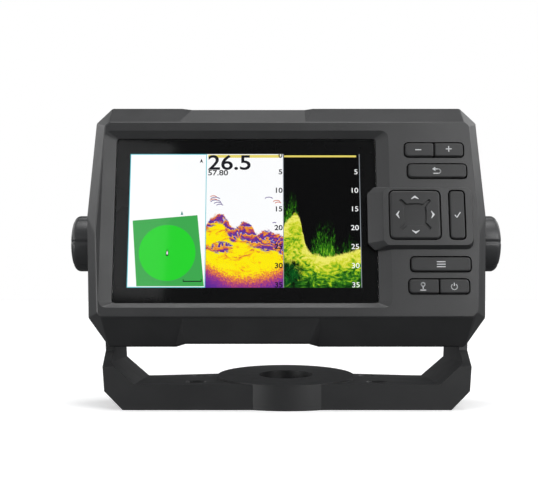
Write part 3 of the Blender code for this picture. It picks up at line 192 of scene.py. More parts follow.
def stroke(points, width, closed=False):
    """The outlines of the thick line along a path: one quad for each stretch and a disc at each bend."""
    points = [Vector(p) for p in points]
    pairs = list(zip(points, points[1:] + points[:1])) if closed else list(zip(points, points[1:]))
    outlines = []
    for a, b in pairs:
        across = (b - a).normalized() * width / 2
        side = Vector((-across.y, across.x))
        outlines.append([a - side, b - side, b + side, a + side])
    bends = points if closed else points[1:-1]
    outlines += [circle(p.x, p.y, width / 2, 12) for p in bends]
    return outlines


def arc(x, y, radius, start, end, count=14):
    steps = [start + (end - start) * k / count for k in range(count + 1)]
    return [(x + radius * cos(radians(a)), y + radius * sin(radians(a))) for a in steps]


def turned(name, profile, place, toward, steps):
    """A profile of (radius, height) that starts and ends on the axis, turned about an axis through place."""
    mesh = bpy.data.meshes.new(name)
    points = [(radius, 0, height) for radius, height in profile]
    mesh.from_pydata(points, [(i, i + 1) for i in range(len(points) - 1)], [])
    obj = new_object(name, mesh)
    obj.rotation_mode = "QUATERNION"
    obj.rotation_quaternion = Vector(toward).to_track_quat("Z", "Y")
    obj.location = place
    screw = obj.modifiers.new("turn", "SCREW")
    screw.steps = screw.render_steps = steps
    screw.use_merge_vertices = True
    screw.merge_threshold = 1e-6
    return obj


def applied(obj):
    """Makes an object's modifiers part of its mesh."""
    bpy.context.view_layer.update()
    graph = bpy.context.evaluated_depsgraph_get()
    mesh = bpy.data.meshes.new_from_object(obj.evaluated_get(graph))
    obj.modifiers.clear()
    obj.data = mesh


def smooth(obj, angle=30):
    obj.data.shade_smooth()
    obj.data.set_sharp_from_angle(angle=radians(angle))


def soften(obj, width, segments=3, angle=14):
    """Rounds a part's hard edges, after welding it and merging its flat triangles.

    Weighted normals keep the flats looking flat.
    """
    weld = obj.modifiers.new("weld", "WELD")
    weld.merge_threshold = 1e-6
    flat = obj.modifiers.new("flat faces", "DECIMATE")
    flat.decimate_type = "DISSOLVE"
    flat.angle_limit = radians(0.6)
    bevel = obj.modifiers.new("edges", "BEVEL")
    bevel.width = width
    bevel.segments = segments
    bevel.limit_method = "ANGLE"
    bevel.angle_limit = radians(angle)
    bevel.use_clamp_overlap = True
    weighted = obj.modifiers.new("flat shading", "WEIGHTED_NORMAL")
    weighted.weight = 100
    weighted.thresh = 0.01
    obj.data.shade_smooth()


# ------------------------------------------------------------------ materials


class Graph:
    """A material's nodes, added and linked by short calls."""

    def __init__(self, name):
        self.material = bpy.data.materials.new(name)
        self.material.use_nodes = True
        self.tree = self.material.node_tree
        self.shader = self.tree.nodes["Principled BSDF"]
        self.output = self.tree.nodes["Material Output"]
        coordinates = self.tree.nodes.new("ShaderNodeTexCoord")
        self.place = coordinates.outputs["Object"]

    def put(self, value, socket):
        if isinstance(value, bpy.types.NodeSocket):
            self.tree.links.new(value, socket)
        elif value is not None:
            socket.default_value = value

    def math(self, operation, a, b=None, c=None, clamp=False):
        node = self.tree.nodes.new("ShaderNodeMath")
        node.operation = operation
        node.use_clamp = clamp
        for socket, value in zip(node.inputs, (a, b, c)):
            self.put(value, socket)
        return node.outputs[0]

    def noise(self, scale, detail=3.0, roughness=0.5, place=None, distortion=0.0):
        node = self.tree.nodes.new("ShaderNodeTexNoise")
        self.put(place or self.place, node.inputs["Vector"])
        node.inputs["Scale"].default_value = scale
        node.inputs["Detail"].default_value = detail
        node.inputs["Roughness"].default_value = roughness
        node.inputs["Distortion"].default_value = distortion
        return node.outputs["Fac"]

    def stretched(self, scale):
        node = self.tree.nodes.new("ShaderNodeMapping")
        self.tree.links.new(self.place, node.inputs["Vector"])
        node.inputs["Scale"].default_value = scale
        return node.outputs["Vector"]

    def separate(self):
        node = self.tree.nodes.new("ShaderNodeSeparateXYZ")
        self.tree.links.new(self.place, node.inputs[0])
        return node.outputs

    def ramp(self, factor, stops, mode="LINEAR"):
        node = self.tree.nodes.new("ShaderNodeValToRGB")
        self.tree.links.new(factor, node.inputs["Fac"])
        ramp = node.color_ramp
        ramp.interpolation = mode
        while len(ramp.elements) < len(stops):
            ramp.elements.new(0.5)
        for element, (position, colour) in zip(ramp.elements, stops):
            element.position = position
            element.color = (*colour, 1)
        return node.outputs["Color"]

    def curve(self, factor, points):
        node = self.tree.nodes.new("ShaderNodeFloatCurve")
        self.tree.links.new(factor, node.inputs["Value"])
        curve = node.mapping.curves[0]
        while len(curve.points) < len(points):
            curve.points.new(0.5, 0.5)
        for target, point in zip(curve.points, points):
            target.location = point
        node.mapping.update()
        return node.outputs[0]

    def mix(self, factor, a, b):
        node = self.tree.nodes.new("ShaderNodeMix")
        node.data_type = "RGBA"
        self.put(factor, node.inputs["Factor"])
        self.put(a, node.inputs["A"])
        self.put(b, node.inputs["B"])
        return node.outputs["Result"]

    def bump(self, height, strength, distance, after=None):
        node = self.tree.nodes.new("ShaderNodeBump")
        node.inputs["Strength"].default_value = strength
        node.inputs["Distance"].default_value = distance
        self.tree.links.new(height, node.inputs["Height"])
        self.put(after, node.inputs["Normal"])
        return node.outputs["Normal"]


def moulded_plastic(name, colour, rough, grain=1.0, specular=0.5):
    """Injection-moulded plastic with a spark-eroded texture, faint mottling and uneven sheen."""
    g = Graph(name)
    mottle = g.noise(60, 4)
    fine = g.noise(1900, 2, 0.6)
    coarse = g.noise(700, 3, 0.55)
    light = [c * 1.10 + 0.002 for c in colour]
    dark = [c * 0.90 for c in colour]
    speck = g.math("ADD", g.math("MULTIPLY", mottle, 0.6), g.math("MULTIPLY", fine, 0.4))
    g.put(g.ramp(speck, [(0.35, dark), (0.65, light)]), g.shader.inputs["Base Color"])
    sheen = g.math("MULTIPLY_ADD", g.noise(140, 3), 0.14, rough - 0.07)
    g.put(sheen, g.shader.inputs["Roughness"])
    g.shader.inputs["Specular IOR Level"].default_value = specular
    under = g.bump(coarse, 0.10 * grain, 0.00010)
    g.put(g.bump(fine, 0.22 * grain, 0.00005, under), g.shader.inputs["Normal"])
    return g.material


def soft_rubber(name, colour, rough):
    g = Graph(name)
    light = [c * 1.15 + 0.003 for c in colour]
    g.put(g.ramp(g.noise(90, 4), [(0.3, colour), (0.7, light)]), g.shader.inputs["Base Color"])
    g.put(g.math("MULTIPLY_ADD", g.noise(300, 2), 0.12, rough - 0.06), g.shader.inputs["Roughness"])
    g.shader.inputs["Sheen Weight"].default_value = 0.08
    g.shader.inputs["Sheen Roughness"].default_value = 0.5
    g.put(g.bump(g.noise(2400, 2), 0.12, 0.00004), g.shader.inputs["Normal"])
    return g.material


def turned_metal(name, colour, rough):
    """Machined or stamped metal: fine lines, small stains and a varied polish."""
    g = Graph(name)
    lines = g.noise(900, 2, 0.5, g.stretched((1.0, 6.0, 1.0)))
    stain = g.noise(120, 5)
    dark = [c * 0.75 for c in colour]
    g.put(g.ramp(stain, [(0.3, dark), (0.62, colour)]), g.shader.inputs["Base Color"])
    g.put(g.math("MULTIPLY_ADD", lines, 0.2, rough - 0.1), g.shader.inputs["Roughness"])
    g.shader.inputs["Metallic"].default_value = 1.0
    g.put(g.bump(lines, 0.15, 0.00003), g.shader.inputs["Normal"])
    return g.material


def circuit_board(name):
    g = Graph(name)
    cells = g.tree.nodes.new("ShaderNodeTexBrick")
    g.tree.links.new(g.stretched((1.0, 1.0, 1.0)), cells.inputs["Vector"])
    cells.inputs["Scale"].default_value = 140
    cells.inputs["Color1"].default_value = (0.012, 0.10, 0.035, 1)
    cells.inputs["Color2"].default_value = (0.016, 0.13, 0.045, 1)
    cells.inputs["Mortar"].default_value = (0.03, 0.20, 0.08, 1)
    cells.inputs["Mortar Size"].default_value = 0.012
    g.put(cells.outputs["Color"], g.shader.inputs["Base Color"])
    g.put(g.math("MULTIPLY_ADD", g.noise(200, 3), 0.2, 0.3), g.shader.inputs["Roughness"])
    return g.material


def mottled(name, colour, rough, scale=150):
    g = Graph(name)
    light = [min(1.0, c * 1.2 + 0.01) for c in colour]
    g.put(g.ramp(g.noise(scale, 4), [(0.3, colour), (0.7, light)]), g.shader.inputs["Base Color"])
    g.put(g.math("MULTIPLY_ADD", g.noise(scale * 3, 2), 0.14, rough - 0.07), g.shader.inputs["Roughness"])
    g.put(g.bump(g.noise(scale * 10, 2), 0.1, 0.00004), g.shader.inputs["Normal"])
    return g.material


def clear_glass(name):
    """The lens: clear, with a gloss that grows towards grazing angles.

    A known fault: the picture behind it shows whole from 30 degrees to the side, and is lost from 60. The
    Fresnel node acting on the lens's back face is the likely cause, and it hasn't been tested.
    """
    g = Graph(name)
    clear = g.tree.nodes.new("ShaderNodeBsdfTransparent")
    clear.inputs["Color"].default_value = (0.97, 0.975, 0.98, 1)
    gloss = g.tree.nodes.new("ShaderNodeBsdfGlossy")
    gloss.inputs["Color"].default_value = (1, 1, 1, 1)
    g.put(g.math("MULTIPLY_ADD", g.noise(40, 3), 0.03, 0.04), gloss.inputs["Roughness"])
    facing = g.tree.nodes.new("ShaderNodeFresnel")
    facing.inputs["IOR"].default_value = 1.35
    mixed = g.tree.nodes.new("ShaderNodeMixShader")
    g.tree.links.new(facing.outputs[0], mixed.inputs["Fac"])
    g.tree.links.new(clear.outputs[0], mixed.inputs[1])
    g.tree.links.new(gloss.outputs[0], mixed.inputs[2])
    g.tree.links.new(mixed.outputs[0], g.output.inputs["Surface"])
    return g.material


def black_mask(name):
    g = Graph(name)
    g.put(g.ramp(g.noise(25, 3), [(0.3, (0.0006, 0.0006, 0.0006)), (0.7, (0.0014, 0.0014, 0.0014))]),
          g.shader.inputs["Base Color"])
    g.put(g.math("MULTIPLY_ADD", g.noise(80, 2), 0.08, 0.24), g.shader.inputs["Roughness"])
    g.shader.inputs["Specular IOR Level"].default_value = 0.1
    return g.material


def lit(name, colour, strength=1.0):
    """A lit patch of the screen's picture, with the panel's faint unevenness."""
    g = Graph(name)
    dim = [c * 0.97 for c in colour]
    tint = g.ramp(g.noise(30, 2), [(0.35, dim), (0.65, colour)])
    g.shader.inputs["Base Color"].default_value = (0, 0, 0, 1)
    g.shader.inputs["Roughness"].default_value = 0.5
    g.shader.inputs["Specular IOR Level"].default_value = 0.0
    g.put(tint, g.shader.inputs["Emission Color"])
    g.shader.inputs["Emission Strength"].default_value = strength
    return g.material


def lit_picture(name):
    """The start of a lit pane's material, with its emission colour still to be given."""
    g = Graph(name)
    g.shader.inputs["Base Color"].default_value = (0, 0, 0, 1)
    g.shader.inputs["Roughness"].default_value = 0.5
    g.shader.inputs["Specular IOR Level"].default_value = 0.0
    g.shader.inputs["Emission Strength"].default_value = 1.0
    return g


def profile_gap(g, across, up, points, rough):
    """How far a place lies below a profile, with a ragged edge."""
    return g.math("SUBTRACT", g.math("ADD", g.curve(across, points), rough), up)


def inside(g, gap, sharpness):
    return g.math("MULTIPLY", gap, sharpness, clamp=True)


def sonar_picture(name, left, width):
    """Traditional sonar: a hard seabed in yellow under rims of orange, violet and blue, on white."""
    g = lit_picture(name)
    x, _, z = g.separate()
    across = g.math("DIVIDE", g.math("SUBTRACT", x, left), width)
    up = g.math("DIVIDE", g.math("SUBTRACT", z, PICTURE_BOTTOM), PICTURE_HEIGHT)
    fine = g.math("MULTIPLY_ADD", g.noise(900, 4, 0.7), 0.05, -0.025)
    ragged = g.math("MULTIPLY_ADD", g.noise(330, 4, 0.7), 0.08, -0.04)
    rough = g.math("ADD", fine, ragged)
    top = profile_gap(g, across, up, [
        (0.0, 0.46), (0.08, 0.53), (0.17, 0.555), (0.27, 0.525), (0.35, 0.44), (0.41, 0.45),
        (0.48, 0.49), (0.57, 0.475), (0.66, 0.40), (0.76, 0.435), (0.88, 0.41), (1.0, 0.385),
    ], rough)
    wave = g.math("MULTIPLY", g.noise(95, 4, 0.6, None, 1.5), 0.30)
    bands = g.math("MULTIPLY", g.math("ADD", up, wave), 17.0)
    bands = g.math("FRACT", bands)
    swirl = g.noise(260, 5, 0.7, g.stretched((1.0, 1.0, 2.4)), 1.4)
    rim = g.ramp(
        g.math("ADD", g.math("MULTIPLY", bands, 0.45), g.math("MULTIPLY", swirl, 0.75)),
        [(0.30, (0.90, 0.82, 0.92)), (0.38, (0.06, 0.03, 0.36)), (0.55, (0.17, 0.03, 0.26)),
         (0.66, (0.60, 0.08, 0.05)), (0.80, (0.95, 0.40, 0.02)), (0.95, (1.0, 0.75, 0.02))],
    )
    body = profile_gap(g, across, up, [
        (0.0, 0.42), (0.10, 0.475), (0.19, 0.485), (0.26, 0.43), (0.34, 0.35), (0.44, 0.37),
        (0.55, 0.33), (0.68, 0.30), (0.80, 0.27), (0.90, 0.28), (1.0, 0.24),
    ], g.math("MULTIPLY_ADD", swirl, 0.10, -0.05))
    core = g.ramp(
        g.math("ADD", g.noise(150, 5, 0.65, g.stretched((1.0, 1.0, 2.0)), 1.0),
               g.math("MULTIPLY", body, 0.25)),
        [(0.30, (0.12, 0.02, 0.25)), (0.37, (0.62, 0.10, 0.03)), (0.43, (0.98, 0.50, 0.01)),
         (0.50, (1.0, 0.82, 0.0)), (1.0, (1.0, 0.90, 0.01))],
    )
    ground = g.mix(inside(g, body, 45.0), rim, core)
    pocket_x = g.math("DIVIDE", g.math("SUBTRACT", across, 0.20), 0.16)
    pocket_z = g.math("DIVIDE", g.math("SUBTRACT", up, 0.295), 0.045)
    pocket = g.math("ADD", g.math("MULTIPLY", pocket_x, pocket_x), g.math("MULTIPLY", pocket_z, pocket_z))
    pocket = g.math("ADD", pocket, g.math("MULTIPLY_ADD", swirl, 3.0, -1.5))
    ground = g.mix(inside(g, g.math("SUBTRACT", 1.0, pocket), 3.0), ground, rim)
    speckle = g.noise(1500, 3, 0.8)
    floor_line = g.math("ADD", g.curve(across, [
        (0.0, 0.20), (0.12, 0.16), (0.35, 0.105), (0.60, 0.10), (0.82, 0.13), (1.0, 0.17),
    ]), g.math("MULTIPLY_ADD", speckle, 0.22, -0.11))
    sink = g.math("SUBTRACT", floor_line, up)
    deep = g.ramp(sink, [(0.0, (0.99, 0.62, 0.02)), (0.03, (0.90, 0.28, 0.02)), (0.07, (0.50, 0.06, 0.14)),
                         (0.11, (0.22, 0.03, 0.30)), (0.18, (0.09, 0.02, 0.30))])
    ground = g.mix(inside(g, sink, 60.0), ground, deep)
    g.put(g.mix(inside(g, top, 70.0), (1.0, 1.0, 1.0, 1), ground), g.shader.inputs["Emission Color"])
    g.shader.inputs["Emission Strength"].default_value = 1.08
    return g.material


def scan_picture(name, left, width):
    """High-frequency scan: green and yellow structure and weed above the seabed, on black."""
    g = lit_picture(name)
    x, _, z = g.separate()
    across = g.math("DIVIDE", g.math("SUBTRACT", x, left), width)
    up = g.math("DIVIDE", g.math("SUBTRACT", z, PICTURE_BOTTOM), PICTURE_HEIGHT)
    grain = g.noise(420, 6, 0.75, g.stretched((1.4, 1.0, 0.9)), 0.8)
    wisps = g.noise(170, 5, 0.65, g.stretched((1.0, 1.0, 1.9)), 1.6)
    rough = g.math("MULTIPLY_ADD", grain, 0.09, -0.045)
    edge = profile_gap(g, across, up, [
        (0.0, 0.46), (0.08, 0.52), (0.155, 0.56), (0.20, 0.53), (0.25, 0.41), (0.32, 0.28),
        (0.42, 0.25), (0.60, 0.235), (0.72, 0.25), (0.86, 0.27), (1.0, 0.30),
    ], rough)
    bright = g.math("ADD", g.math("MULTIPLY", grain, 0.50), g.math("MULTIPLY", wisps, 0.95))
    skin = g.math("MULTIPLY", g.math("SUBTRACT", 0.14, edge), 1.3, clamp=True)
    bright = g.math("ADD", bright, skin)
    bright = g.math("SUBTRACT", bright, g.curve(across, [
        (0.0, 0.02), (0.10, 0.0), (0.25, 0.0), (0.40, 0.0), (0.60, 0.0), (0.80, 0.02), (1.0, 0.04),
    ]))
    bright = g.math("SUBTRACT", bright, g.math("MULTIPLY", g.math("SUBTRACT", 0.20, up), 0.9, clamp=True))
    ground = g.ramp(bright, [
        (0.46, (0.0, 0.03, 0.0)), (0.58, (0.03, 0.20, 0.01)), (0.66, (0.24, 0.50, 0.01)),
        (0.75, (0.68, 0.72, 0.02)), (0.90, (0.95, 0.90, 0.16)),
    ])
    blob_x = g.math("DIVIDE", g.math("SUBTRACT", across, 0.06), 0.22)
    blob_z = g.math("DIVIDE", g.math("SUBTRACT", up, 0.10), 0.12)
    blob = g.math("ADD", g.math("MULTIPLY", blob_x, blob_x), g.math("MULTIPLY", blob_z, blob_z))
    blob = g.math("ADD", blob, g.math("MULTIPLY_ADD", grain, 2.4, -1.2))
    shade = g.ramp(grain, [(0.42, (0.0, 0.01, 0.0)), (0.56, (0.0, 0.10, 0.01)), (0.72, (0.05, 0.32, 0.02))])
    ground = g.mix(inside(g, g.math("SUBTRACT", 1.0, blob), 1.6), ground, shade)
    weed_top = g.curve(across, [
        (0.0, 0.56), (0.05, 0.70), (0.12, 0.72), (0.20, 0.58), (0.30, 0.30), (0.38, 0.40), (0.44, 0.47),
        (0.54, 0.50), (0.64, 0.47), (0.70, 0.34), (0.78, 0.38), (0.86, 0.40), (0.94, 0.34), (1.0, 0.34),
    ])
    under = g.math("MULTIPLY", g.math("SUBTRACT", weed_top, up), 3.2, clamp=True)
    stalks = g.noise(620, 5, 0.8, g.stretched((1.9, 1.0, 0.45)), 1.6)
    weed = g.math("ADD", g.math("MULTIPLY_ADD", stalks, 1.5, -0.86), g.math("MULTIPLY", under, 0.34))
    seen = g.math("MINIMUM", inside(g, under, 14.0), weed)
    growth = g.ramp(seen, [(0.02, (0.0, 0.0, 0.0)), (0.10, (0.01, 0.10, 0.0)), (0.22, (0.06, 0.36, 0.01)),
                           (0.38, (0.45, 0.66, 0.03))])
    g.put(g.mix(inside(g, edge, 60.0), growth, ground), g.shader.inputs["Emission Color"])
    return g.material


CASE_GREY = (0.034, 0.0345, 0.0355)
MATERIALS = {
    "case_plastic": moulded_plastic("case plastic", CASE_GREY, 0.43),
    "bracket_plastic": moulded_plastic("bracket plastic", (0.020, 0.0205, 0.0213), 0.48, 1.2),
    "knob_plastic": moulded_plastic("knob plastic", (0.048, 0.049, 0.051), 0.4),
    "key_rubber": soft_rubber("key rubber", (0.014, 0.0145, 0.0153), 0.5),
    "lens_glass": clear_glass("lens glass"),
    "lcd_glass": mottled("lcd glass", (0.006, 0.006, 0.008), 0.2),
    "seal_rubber": soft_rubber("seal rubber", (0.014, 0.014, 0.014), 0.7),
    "socket_plastic": mottled("socket plastic", (0.018, 0.018, 0.019), 0.4),
    "tray_plastic": mottled("tray plastic", (0.62, 0.62, 0.60), 0.5),
    "circuit_board": circuit_board("circuit board"),
    "ceramic": mottled("antenna ceramic", (0.45, 0.38, 0.28), 0.5),
    "ribbon": mottled("ribbon film", (0.40, 0.19, 0.03), 0.35),
    "steel": turned_metal("stamped steel", (0.56, 0.57, 0.58), 0.38),
    "stainless_steel": turned_metal("stainless steel", (0.62, 0.62, 0.60), 0.3),
    "brass": turned_metal("insert brass", (0.72, 0.52, 0.22), 0.3),
}
MASK = black_mask("printed mask")
SYMBOL = mottled("symbol white", (0.56, 0.57, 0.58), 0.5, 400)


def give(obj, material):
    obj.data.materials.clear()
    obj.data.materials.append(material)
    return obj


def on_case(obj, body="case"):
    """Puts a piece drawn in the case's own frame in place, and lets it ride."""
    obj.matrix_world = CASE_MATRIX @ obj.matrix_basis
    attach(obj, body)


# ------------------------------------------------------------------ carried-over parts

EDGE_WIDTH = {"front_frame": 0.35 * MM, "bail_bracket": 0.7 * MM, "rear_housing": 0.5 * MM,
              "display_lens": 0.2 * MM, "processor_shield": 0.3 * MM, "backlight_tray": 0.3 * MM,
              "gps_antenna": 0.2 * MM}


def finish_cad_nodes():
    """Gives every carried-over part its procedural finish, and rounds the edges of those in EDGE_WIDTH."""
    slots = {row["node"]: row["material_slot"] for row in frame["record"]["subparts"]}
    for name, obj in frame["nodes"].items():
        give(obj, MATERIALS[slots[name]])
        if name in EDGE_WIDTH:
            soften(obj, EDGE_WIDTH[name])
        else:
            smooth(obj)


# ------------------------------------------------------------------ knobs


def knob_profile():
    """Half a knob's outline: from the middle of its face, down its side and up the stud's hole."""
    length, radius = KNOB_LENGTH, KNOB_RADIUS
    crown, edge = 1.6 * MM, 2.6 * MM
    points = [(0.0, length)]
    face = radius - edge
    for k in range(1, 9):
        share = k / 8
        points.append((face * share, length - crown * 0.35 * share * share))
    top = length - crown * 0.35
    for k in range(1, 13):
        a = pi / 2 * k / 12
        points.append((face + edge * sin(a), top - edge * (1 - cos(a))))
    points += [(radius, 3.4 * MM), (radius - 0.25 * MM, 2.4 * MM), (radius - 1.3 * MM, 0.5 * MM),
               (radius - 1.6 * MM, 0.0), (STUD_HOLE, 0.0), (STUD_HOLE, 9.0 * MM), (0.0, 9.0 * MM)]
    return points


def fluted(obj, count, depth, start, end):
    """Presses thin grooves into a turned piece, between two heights along its axis."""
    inner, fade = KNOB_RADIUS * 0.72, KNOB_RADIUS * 0.2
    for vertex in obj.data.vertices:
        radius = (vertex.co.x ** 2 + vertex.co.y ** 2) ** 0.5
        if radius < inner or not start <= vertex.co.z <= end:
            continue
        angle = atan2(vertex.co.y, vertex.co.x)
        wave = max(0.0, cos(angle * count)) ** 14
        reach = min(1.0, (radius - inner) / fade)
        scale = 1 - depth * wave * reach / radius
        vertex.co.x *= scale
        vertex.co.y *= scale


def knobs():
    for side, label in ((-1, "left"), (1, "right")):
        place = (side * KNOB_X, PIVOT.y, PIVOT.z)
        cap = turned(f"{label}_knob_moulding", knob_profile(), place, (side, 0, 0), 240)
        applied(cap)
        fluted(cap, 6, 0.6 * MM, 2.0 * MM, KNOB_LENGTH)
        smooth(give(cap, MATERIALS["knob_plastic"]), 40)
        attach(cap, f"{label}_knob")
        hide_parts(f"{label}_knob")


# ------------------------------------------------------------------ cursor pad


def pad_groove():
    """The pad's sunk middle: an octagon with a groove running out of each slanted side."""
    across, reach, half_width = SUNK_HALF_WIDTH, GROOVE_REACH, GROOVE_HALF_WIDTH
    outline = []
    for quarter in range(4):
        turn = Matrix.Rotation(pi / 2 * quarter, 2)
        slant, beside = Vector((1, 1)).normalized(), Vector((-1, 1)).normalized()
        flat_end = across * tan(radians(24))
        points = [Vector((across, flat_end)), slant * (across + 0.9 * MM) - beside * half_width]
        for k in range(7):
            a = -pi / 2 + pi * k / 6
            points.append(slant * (reach + half_width * cos(a)) + beside * half_width * sin(a))
        points += [slant * (across + 0.9 * MM) + beside * half_width, Vector((flat_end, across))]
        outline += [turn @ point + Vector(PAD_MIDDLE) for point in points]
    return outline


def cursor_pad():
    """A moulded cap with a rounded edge and the sunk middle pressed into its flat face."""
    x, z = PAD_MIDDLE
    edge = CAP_EDGE
    bm = bmesh.new()
    loops = []
    levels = [(0.0, CAP_DEPTH)] + [
        (edge * (1 - cos(pi / 2 * k / 8)), edge * (1 - sin(pi / 2 * k / 8))) for k in range(9)
    ]
    for inwards, behind in levels:
        outline = rectangle(
            x - PAD_WIDTH / 2 + inwards, x + PAD_WIDTH / 2 - inwards,
            z - PAD_HEIGHT / 2 + inwards, z + PAD_HEIGHT / 2 - inwards, PAD_CORNER - inwards, 8,
        )
        loops.append([bm.verts.new((p[0], PAD_FRONT + behind, p[1])) for p in outline])
    count = len(loops[0])
    for a, b in zip(loops, loops[1:]):
        for i in range(count):
            j = (i + 1) % count
            bm.faces.new((a[i], a[j], b[j], b[i]))
    bm.faces.new(loops[0][::-1])
    bm.faces.new(loops[-1])
    cap = object_from("cursor_pad_moulding", bm)
    cutter = plates("pad_groove_cutter", [pad_groove()], PAD_FRONT - PAST, PAST + SUNK_DEPTH)
    sunk = cap.modifiers.new("sunk middle", "BOOLEAN")
    sunk.operation = "DIFFERENCE"
    sunk.object = cutter
    sunk.solver = "EXACT"
    applied(cap)
    bpy.data.objects.remove(cutter)
    soften(cap, 0.18 * MM, 4, 40)
    applied(cap)
    give(cap, MATERIALS["key_rubber"])
    on_case(cap, "cursor_pad")
    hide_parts("cursor_pad")


# ------------------------------------------------------------------ screen


def screen_point(across, up):
    """A place on the screen, from shares of its width and its height."""
    return PICTURE_LEFT + across * PICTURE_WIDTH, PICTURE_BOTTOM + up * PICTURE_HEIGHT


def number(name, text, height, across, up, material, right_aligned=False, layer=0.13, bold=0.03, wide=1.0):
    """Digits on the screen, as a thin lit mesh. The place is the left or right end of the base line."""
    curve = bpy.data.curves.new(name, "FONT")
    curve.body = text
    curve.size = height / DIGIT_SHARE
    curve.align_x = "RIGHT" if right_aligned else "LEFT"
    curve.extrude = 0.01 * MM
    curve.offset = bold * height
    guide = new_object(name + "_guide", curve)
    bpy.context.view_layer.update()
    mesh = bpy.data.meshes.new_from_object(guide.evaluated_get(bpy.context.evaluated_depsgraph_get()))
    bpy.data.objects.remove(guide)
    x, z = screen_point(across, up)
    mesh.transform(
        Matrix.Translation((x, LCD_FRONT - layer * MM, z))
        @ Matrix.Rotation(pi / 2, 4, "X")
        @ Matrix.Diagonal((wide, 1, 1, 1))
    )
    obj = new_object(name, mesh)
    on_case(give(obj, material))


def patch(name, outlines, material, layer):
    """A lit patch of the picture. Its layer is its distance in front of the panel, in millimetres."""
    obj = plates(name, outlines, LCD_FRONT - (layer + 0.02) * MM, 0.02 * MM)
    on_case(give(obj, material))


def pane(name, first, last, material):
    left, bottom = screen_point(first, 0.0)
    right, top = screen_point(last, 1.0)
    patch(name, [rectangle(left, right, bottom, top)], material, 0.03)


def chart_pane(third):
    """The chart: white, with a green survey area, a bright range circle and the boat."""
    green = lit("chart green", (0.054, 0.434, 0.087))
    bright = lit("range green", (0.022, 0.72, 0.030))
    white, dark = lit("picture white", (1.0, 1.0, 1.0), 1.12), lit("picture black", (0.01, 0.01, 0.015))
    cyan = lit("pane border", (0.10, 0.62, 0.70))
    pane("chart_pane", 0.0, third, white)
    area = [screen_point(*p) for p in ((0.017, 0.495), (0.296, 0.536), (0.328, 0.01), (0.041, 0.01))]
    patch("survey_area", [area[::-1]], green, 0.06)
    x, z = screen_point(0.169, 0.256)
    patch("range_circle", [circle(x, z, 13.2 * MM, 72)], bright, 0.09)
    boat = [(x - 0.55 * MM, z - 1.5 * MM), (x + 0.55 * MM, z - 1.5 * MM), (x + 0.6 * MM, z + 0.3 * MM),
            (x, z + 1.7 * MM), (x - 0.6 * MM, z + 0.3 * MM)]
    patch("boat_outline", [boat], dark, 0.12)
    inner = [(x + (px - x) * 0.5, z + (pz - z) * 0.55) for px, pz in boat]
    patch("boat_mark", [inner], white, 0.15)
    bar_left, bar_z = screen_point(0.238, 0.042)
    bar_right = screen_point(0.318, 0.0)[0]
    bar = [rectangle(bar_left, bar_right, bar_z, bar_z + 0.5 * MM),
           rectangle(bar_left, bar_left + 0.35 * MM, bar_z, bar_z + 1.3 * MM),
           rectangle(bar_right - 0.35 * MM, bar_right, bar_z, bar_z + 1.3 * MM)]
    patch("scale_bar", bar, dark, 0.12)
    north_x, north_z = screen_point(0.310, 0.945)
    arrow = [(north_x, north_z + 1.3 * MM), (north_x - 0.8 * MM, north_z - 0.9 * MM),
             (north_x, north_z - 0.3 * MM), (north_x + 0.8 * MM, north_z - 0.9 * MM)]
    patch("north_arrow", [arrow], dark, 0.12)
    flag_x, flag_z = screen_point(0.229, 0.55)
    flag = [(flag_x, flag_z + 1.1 * MM), (flag_x - 0.6 * MM, flag_z - 0.8 * MM),
            (flag_x + 0.6 * MM, flag_z - 0.8 * MM)]
    patch("waypoint_flag", [flag], lit("waypoint teal", (0.02, 0.25, 0.22)), 0.12)
    left, bottom = screen_point(0.0, 0.0)
    right, top = screen_point(third, 1.0)
    line = 0.35 * MM
    obj = ring_plate("pane_border", rectangle(left, right, bottom, top),
                     rectangle(left + line, right - line, bottom + line, top - line),
                     LCD_FRONT - 0.20 * MM, 0.02 * MM)
    on_case(give(obj, cyan))
    return white, dark


def fish_arcs(third):
    """Small echoes of fish above the seabed."""
    violet, rust = lit("echo violet", (0.12, 0.06, 0.30)), lit("echo rust", (0.70, 0.16, 0.08))
    echoes = [
        (0.364, 0.676, 1.6, rust, "a"), (0.372, 0.662, 2.4, violet, "b"),
        (0.366, 0.650, 2.0, rust, "c"), (0.374, 0.640, 2.6, violet, "d"),
        (0.384, 0.626, 2.0, violet, "e"), (0.392, 0.612, 1.7, violet, "f"),
        (0.604, 0.664, 2.0, violet, "g"), (0.638, 0.640, 1.8, rust, "h"),
        (0.644, 0.628, 1.6, rust, "i"), (0.628, 0.478, 0.9, violet, "j"),
    ]
    for across, up, radius, material, letter in echoes:
        x, z = screen_point(across, up)
        x = max(x, screen_point(third, 0)[0] + radius * MM + 0.5 * MM)
        bow = arc(x, z - radius * 0.6 * MM, radius * MM, 155, 25, 10)
        bow = [(px, z + (pz - z) * 0.6) for px, pz in bow]
        patch(f"fish_echo_{letter}", stroke(bow, 0.36 * MM), material, 0.08)


def depth_numbers(name, across, material, first, bold):
    """The depth scale down a pane's right edge, every five units."""
    for step in range(first, 8):
        up = SCALE_TOP - SCALE_STEP * step if step else SCALE_ZERO
        label = str(5 * step)
        number(f"{name}_{label}", label, SCALE_DIGIT, across, up - SCALE_DROP, material,
               right_aligned=True, layer=0.16, bold=bold, wide=1.15)


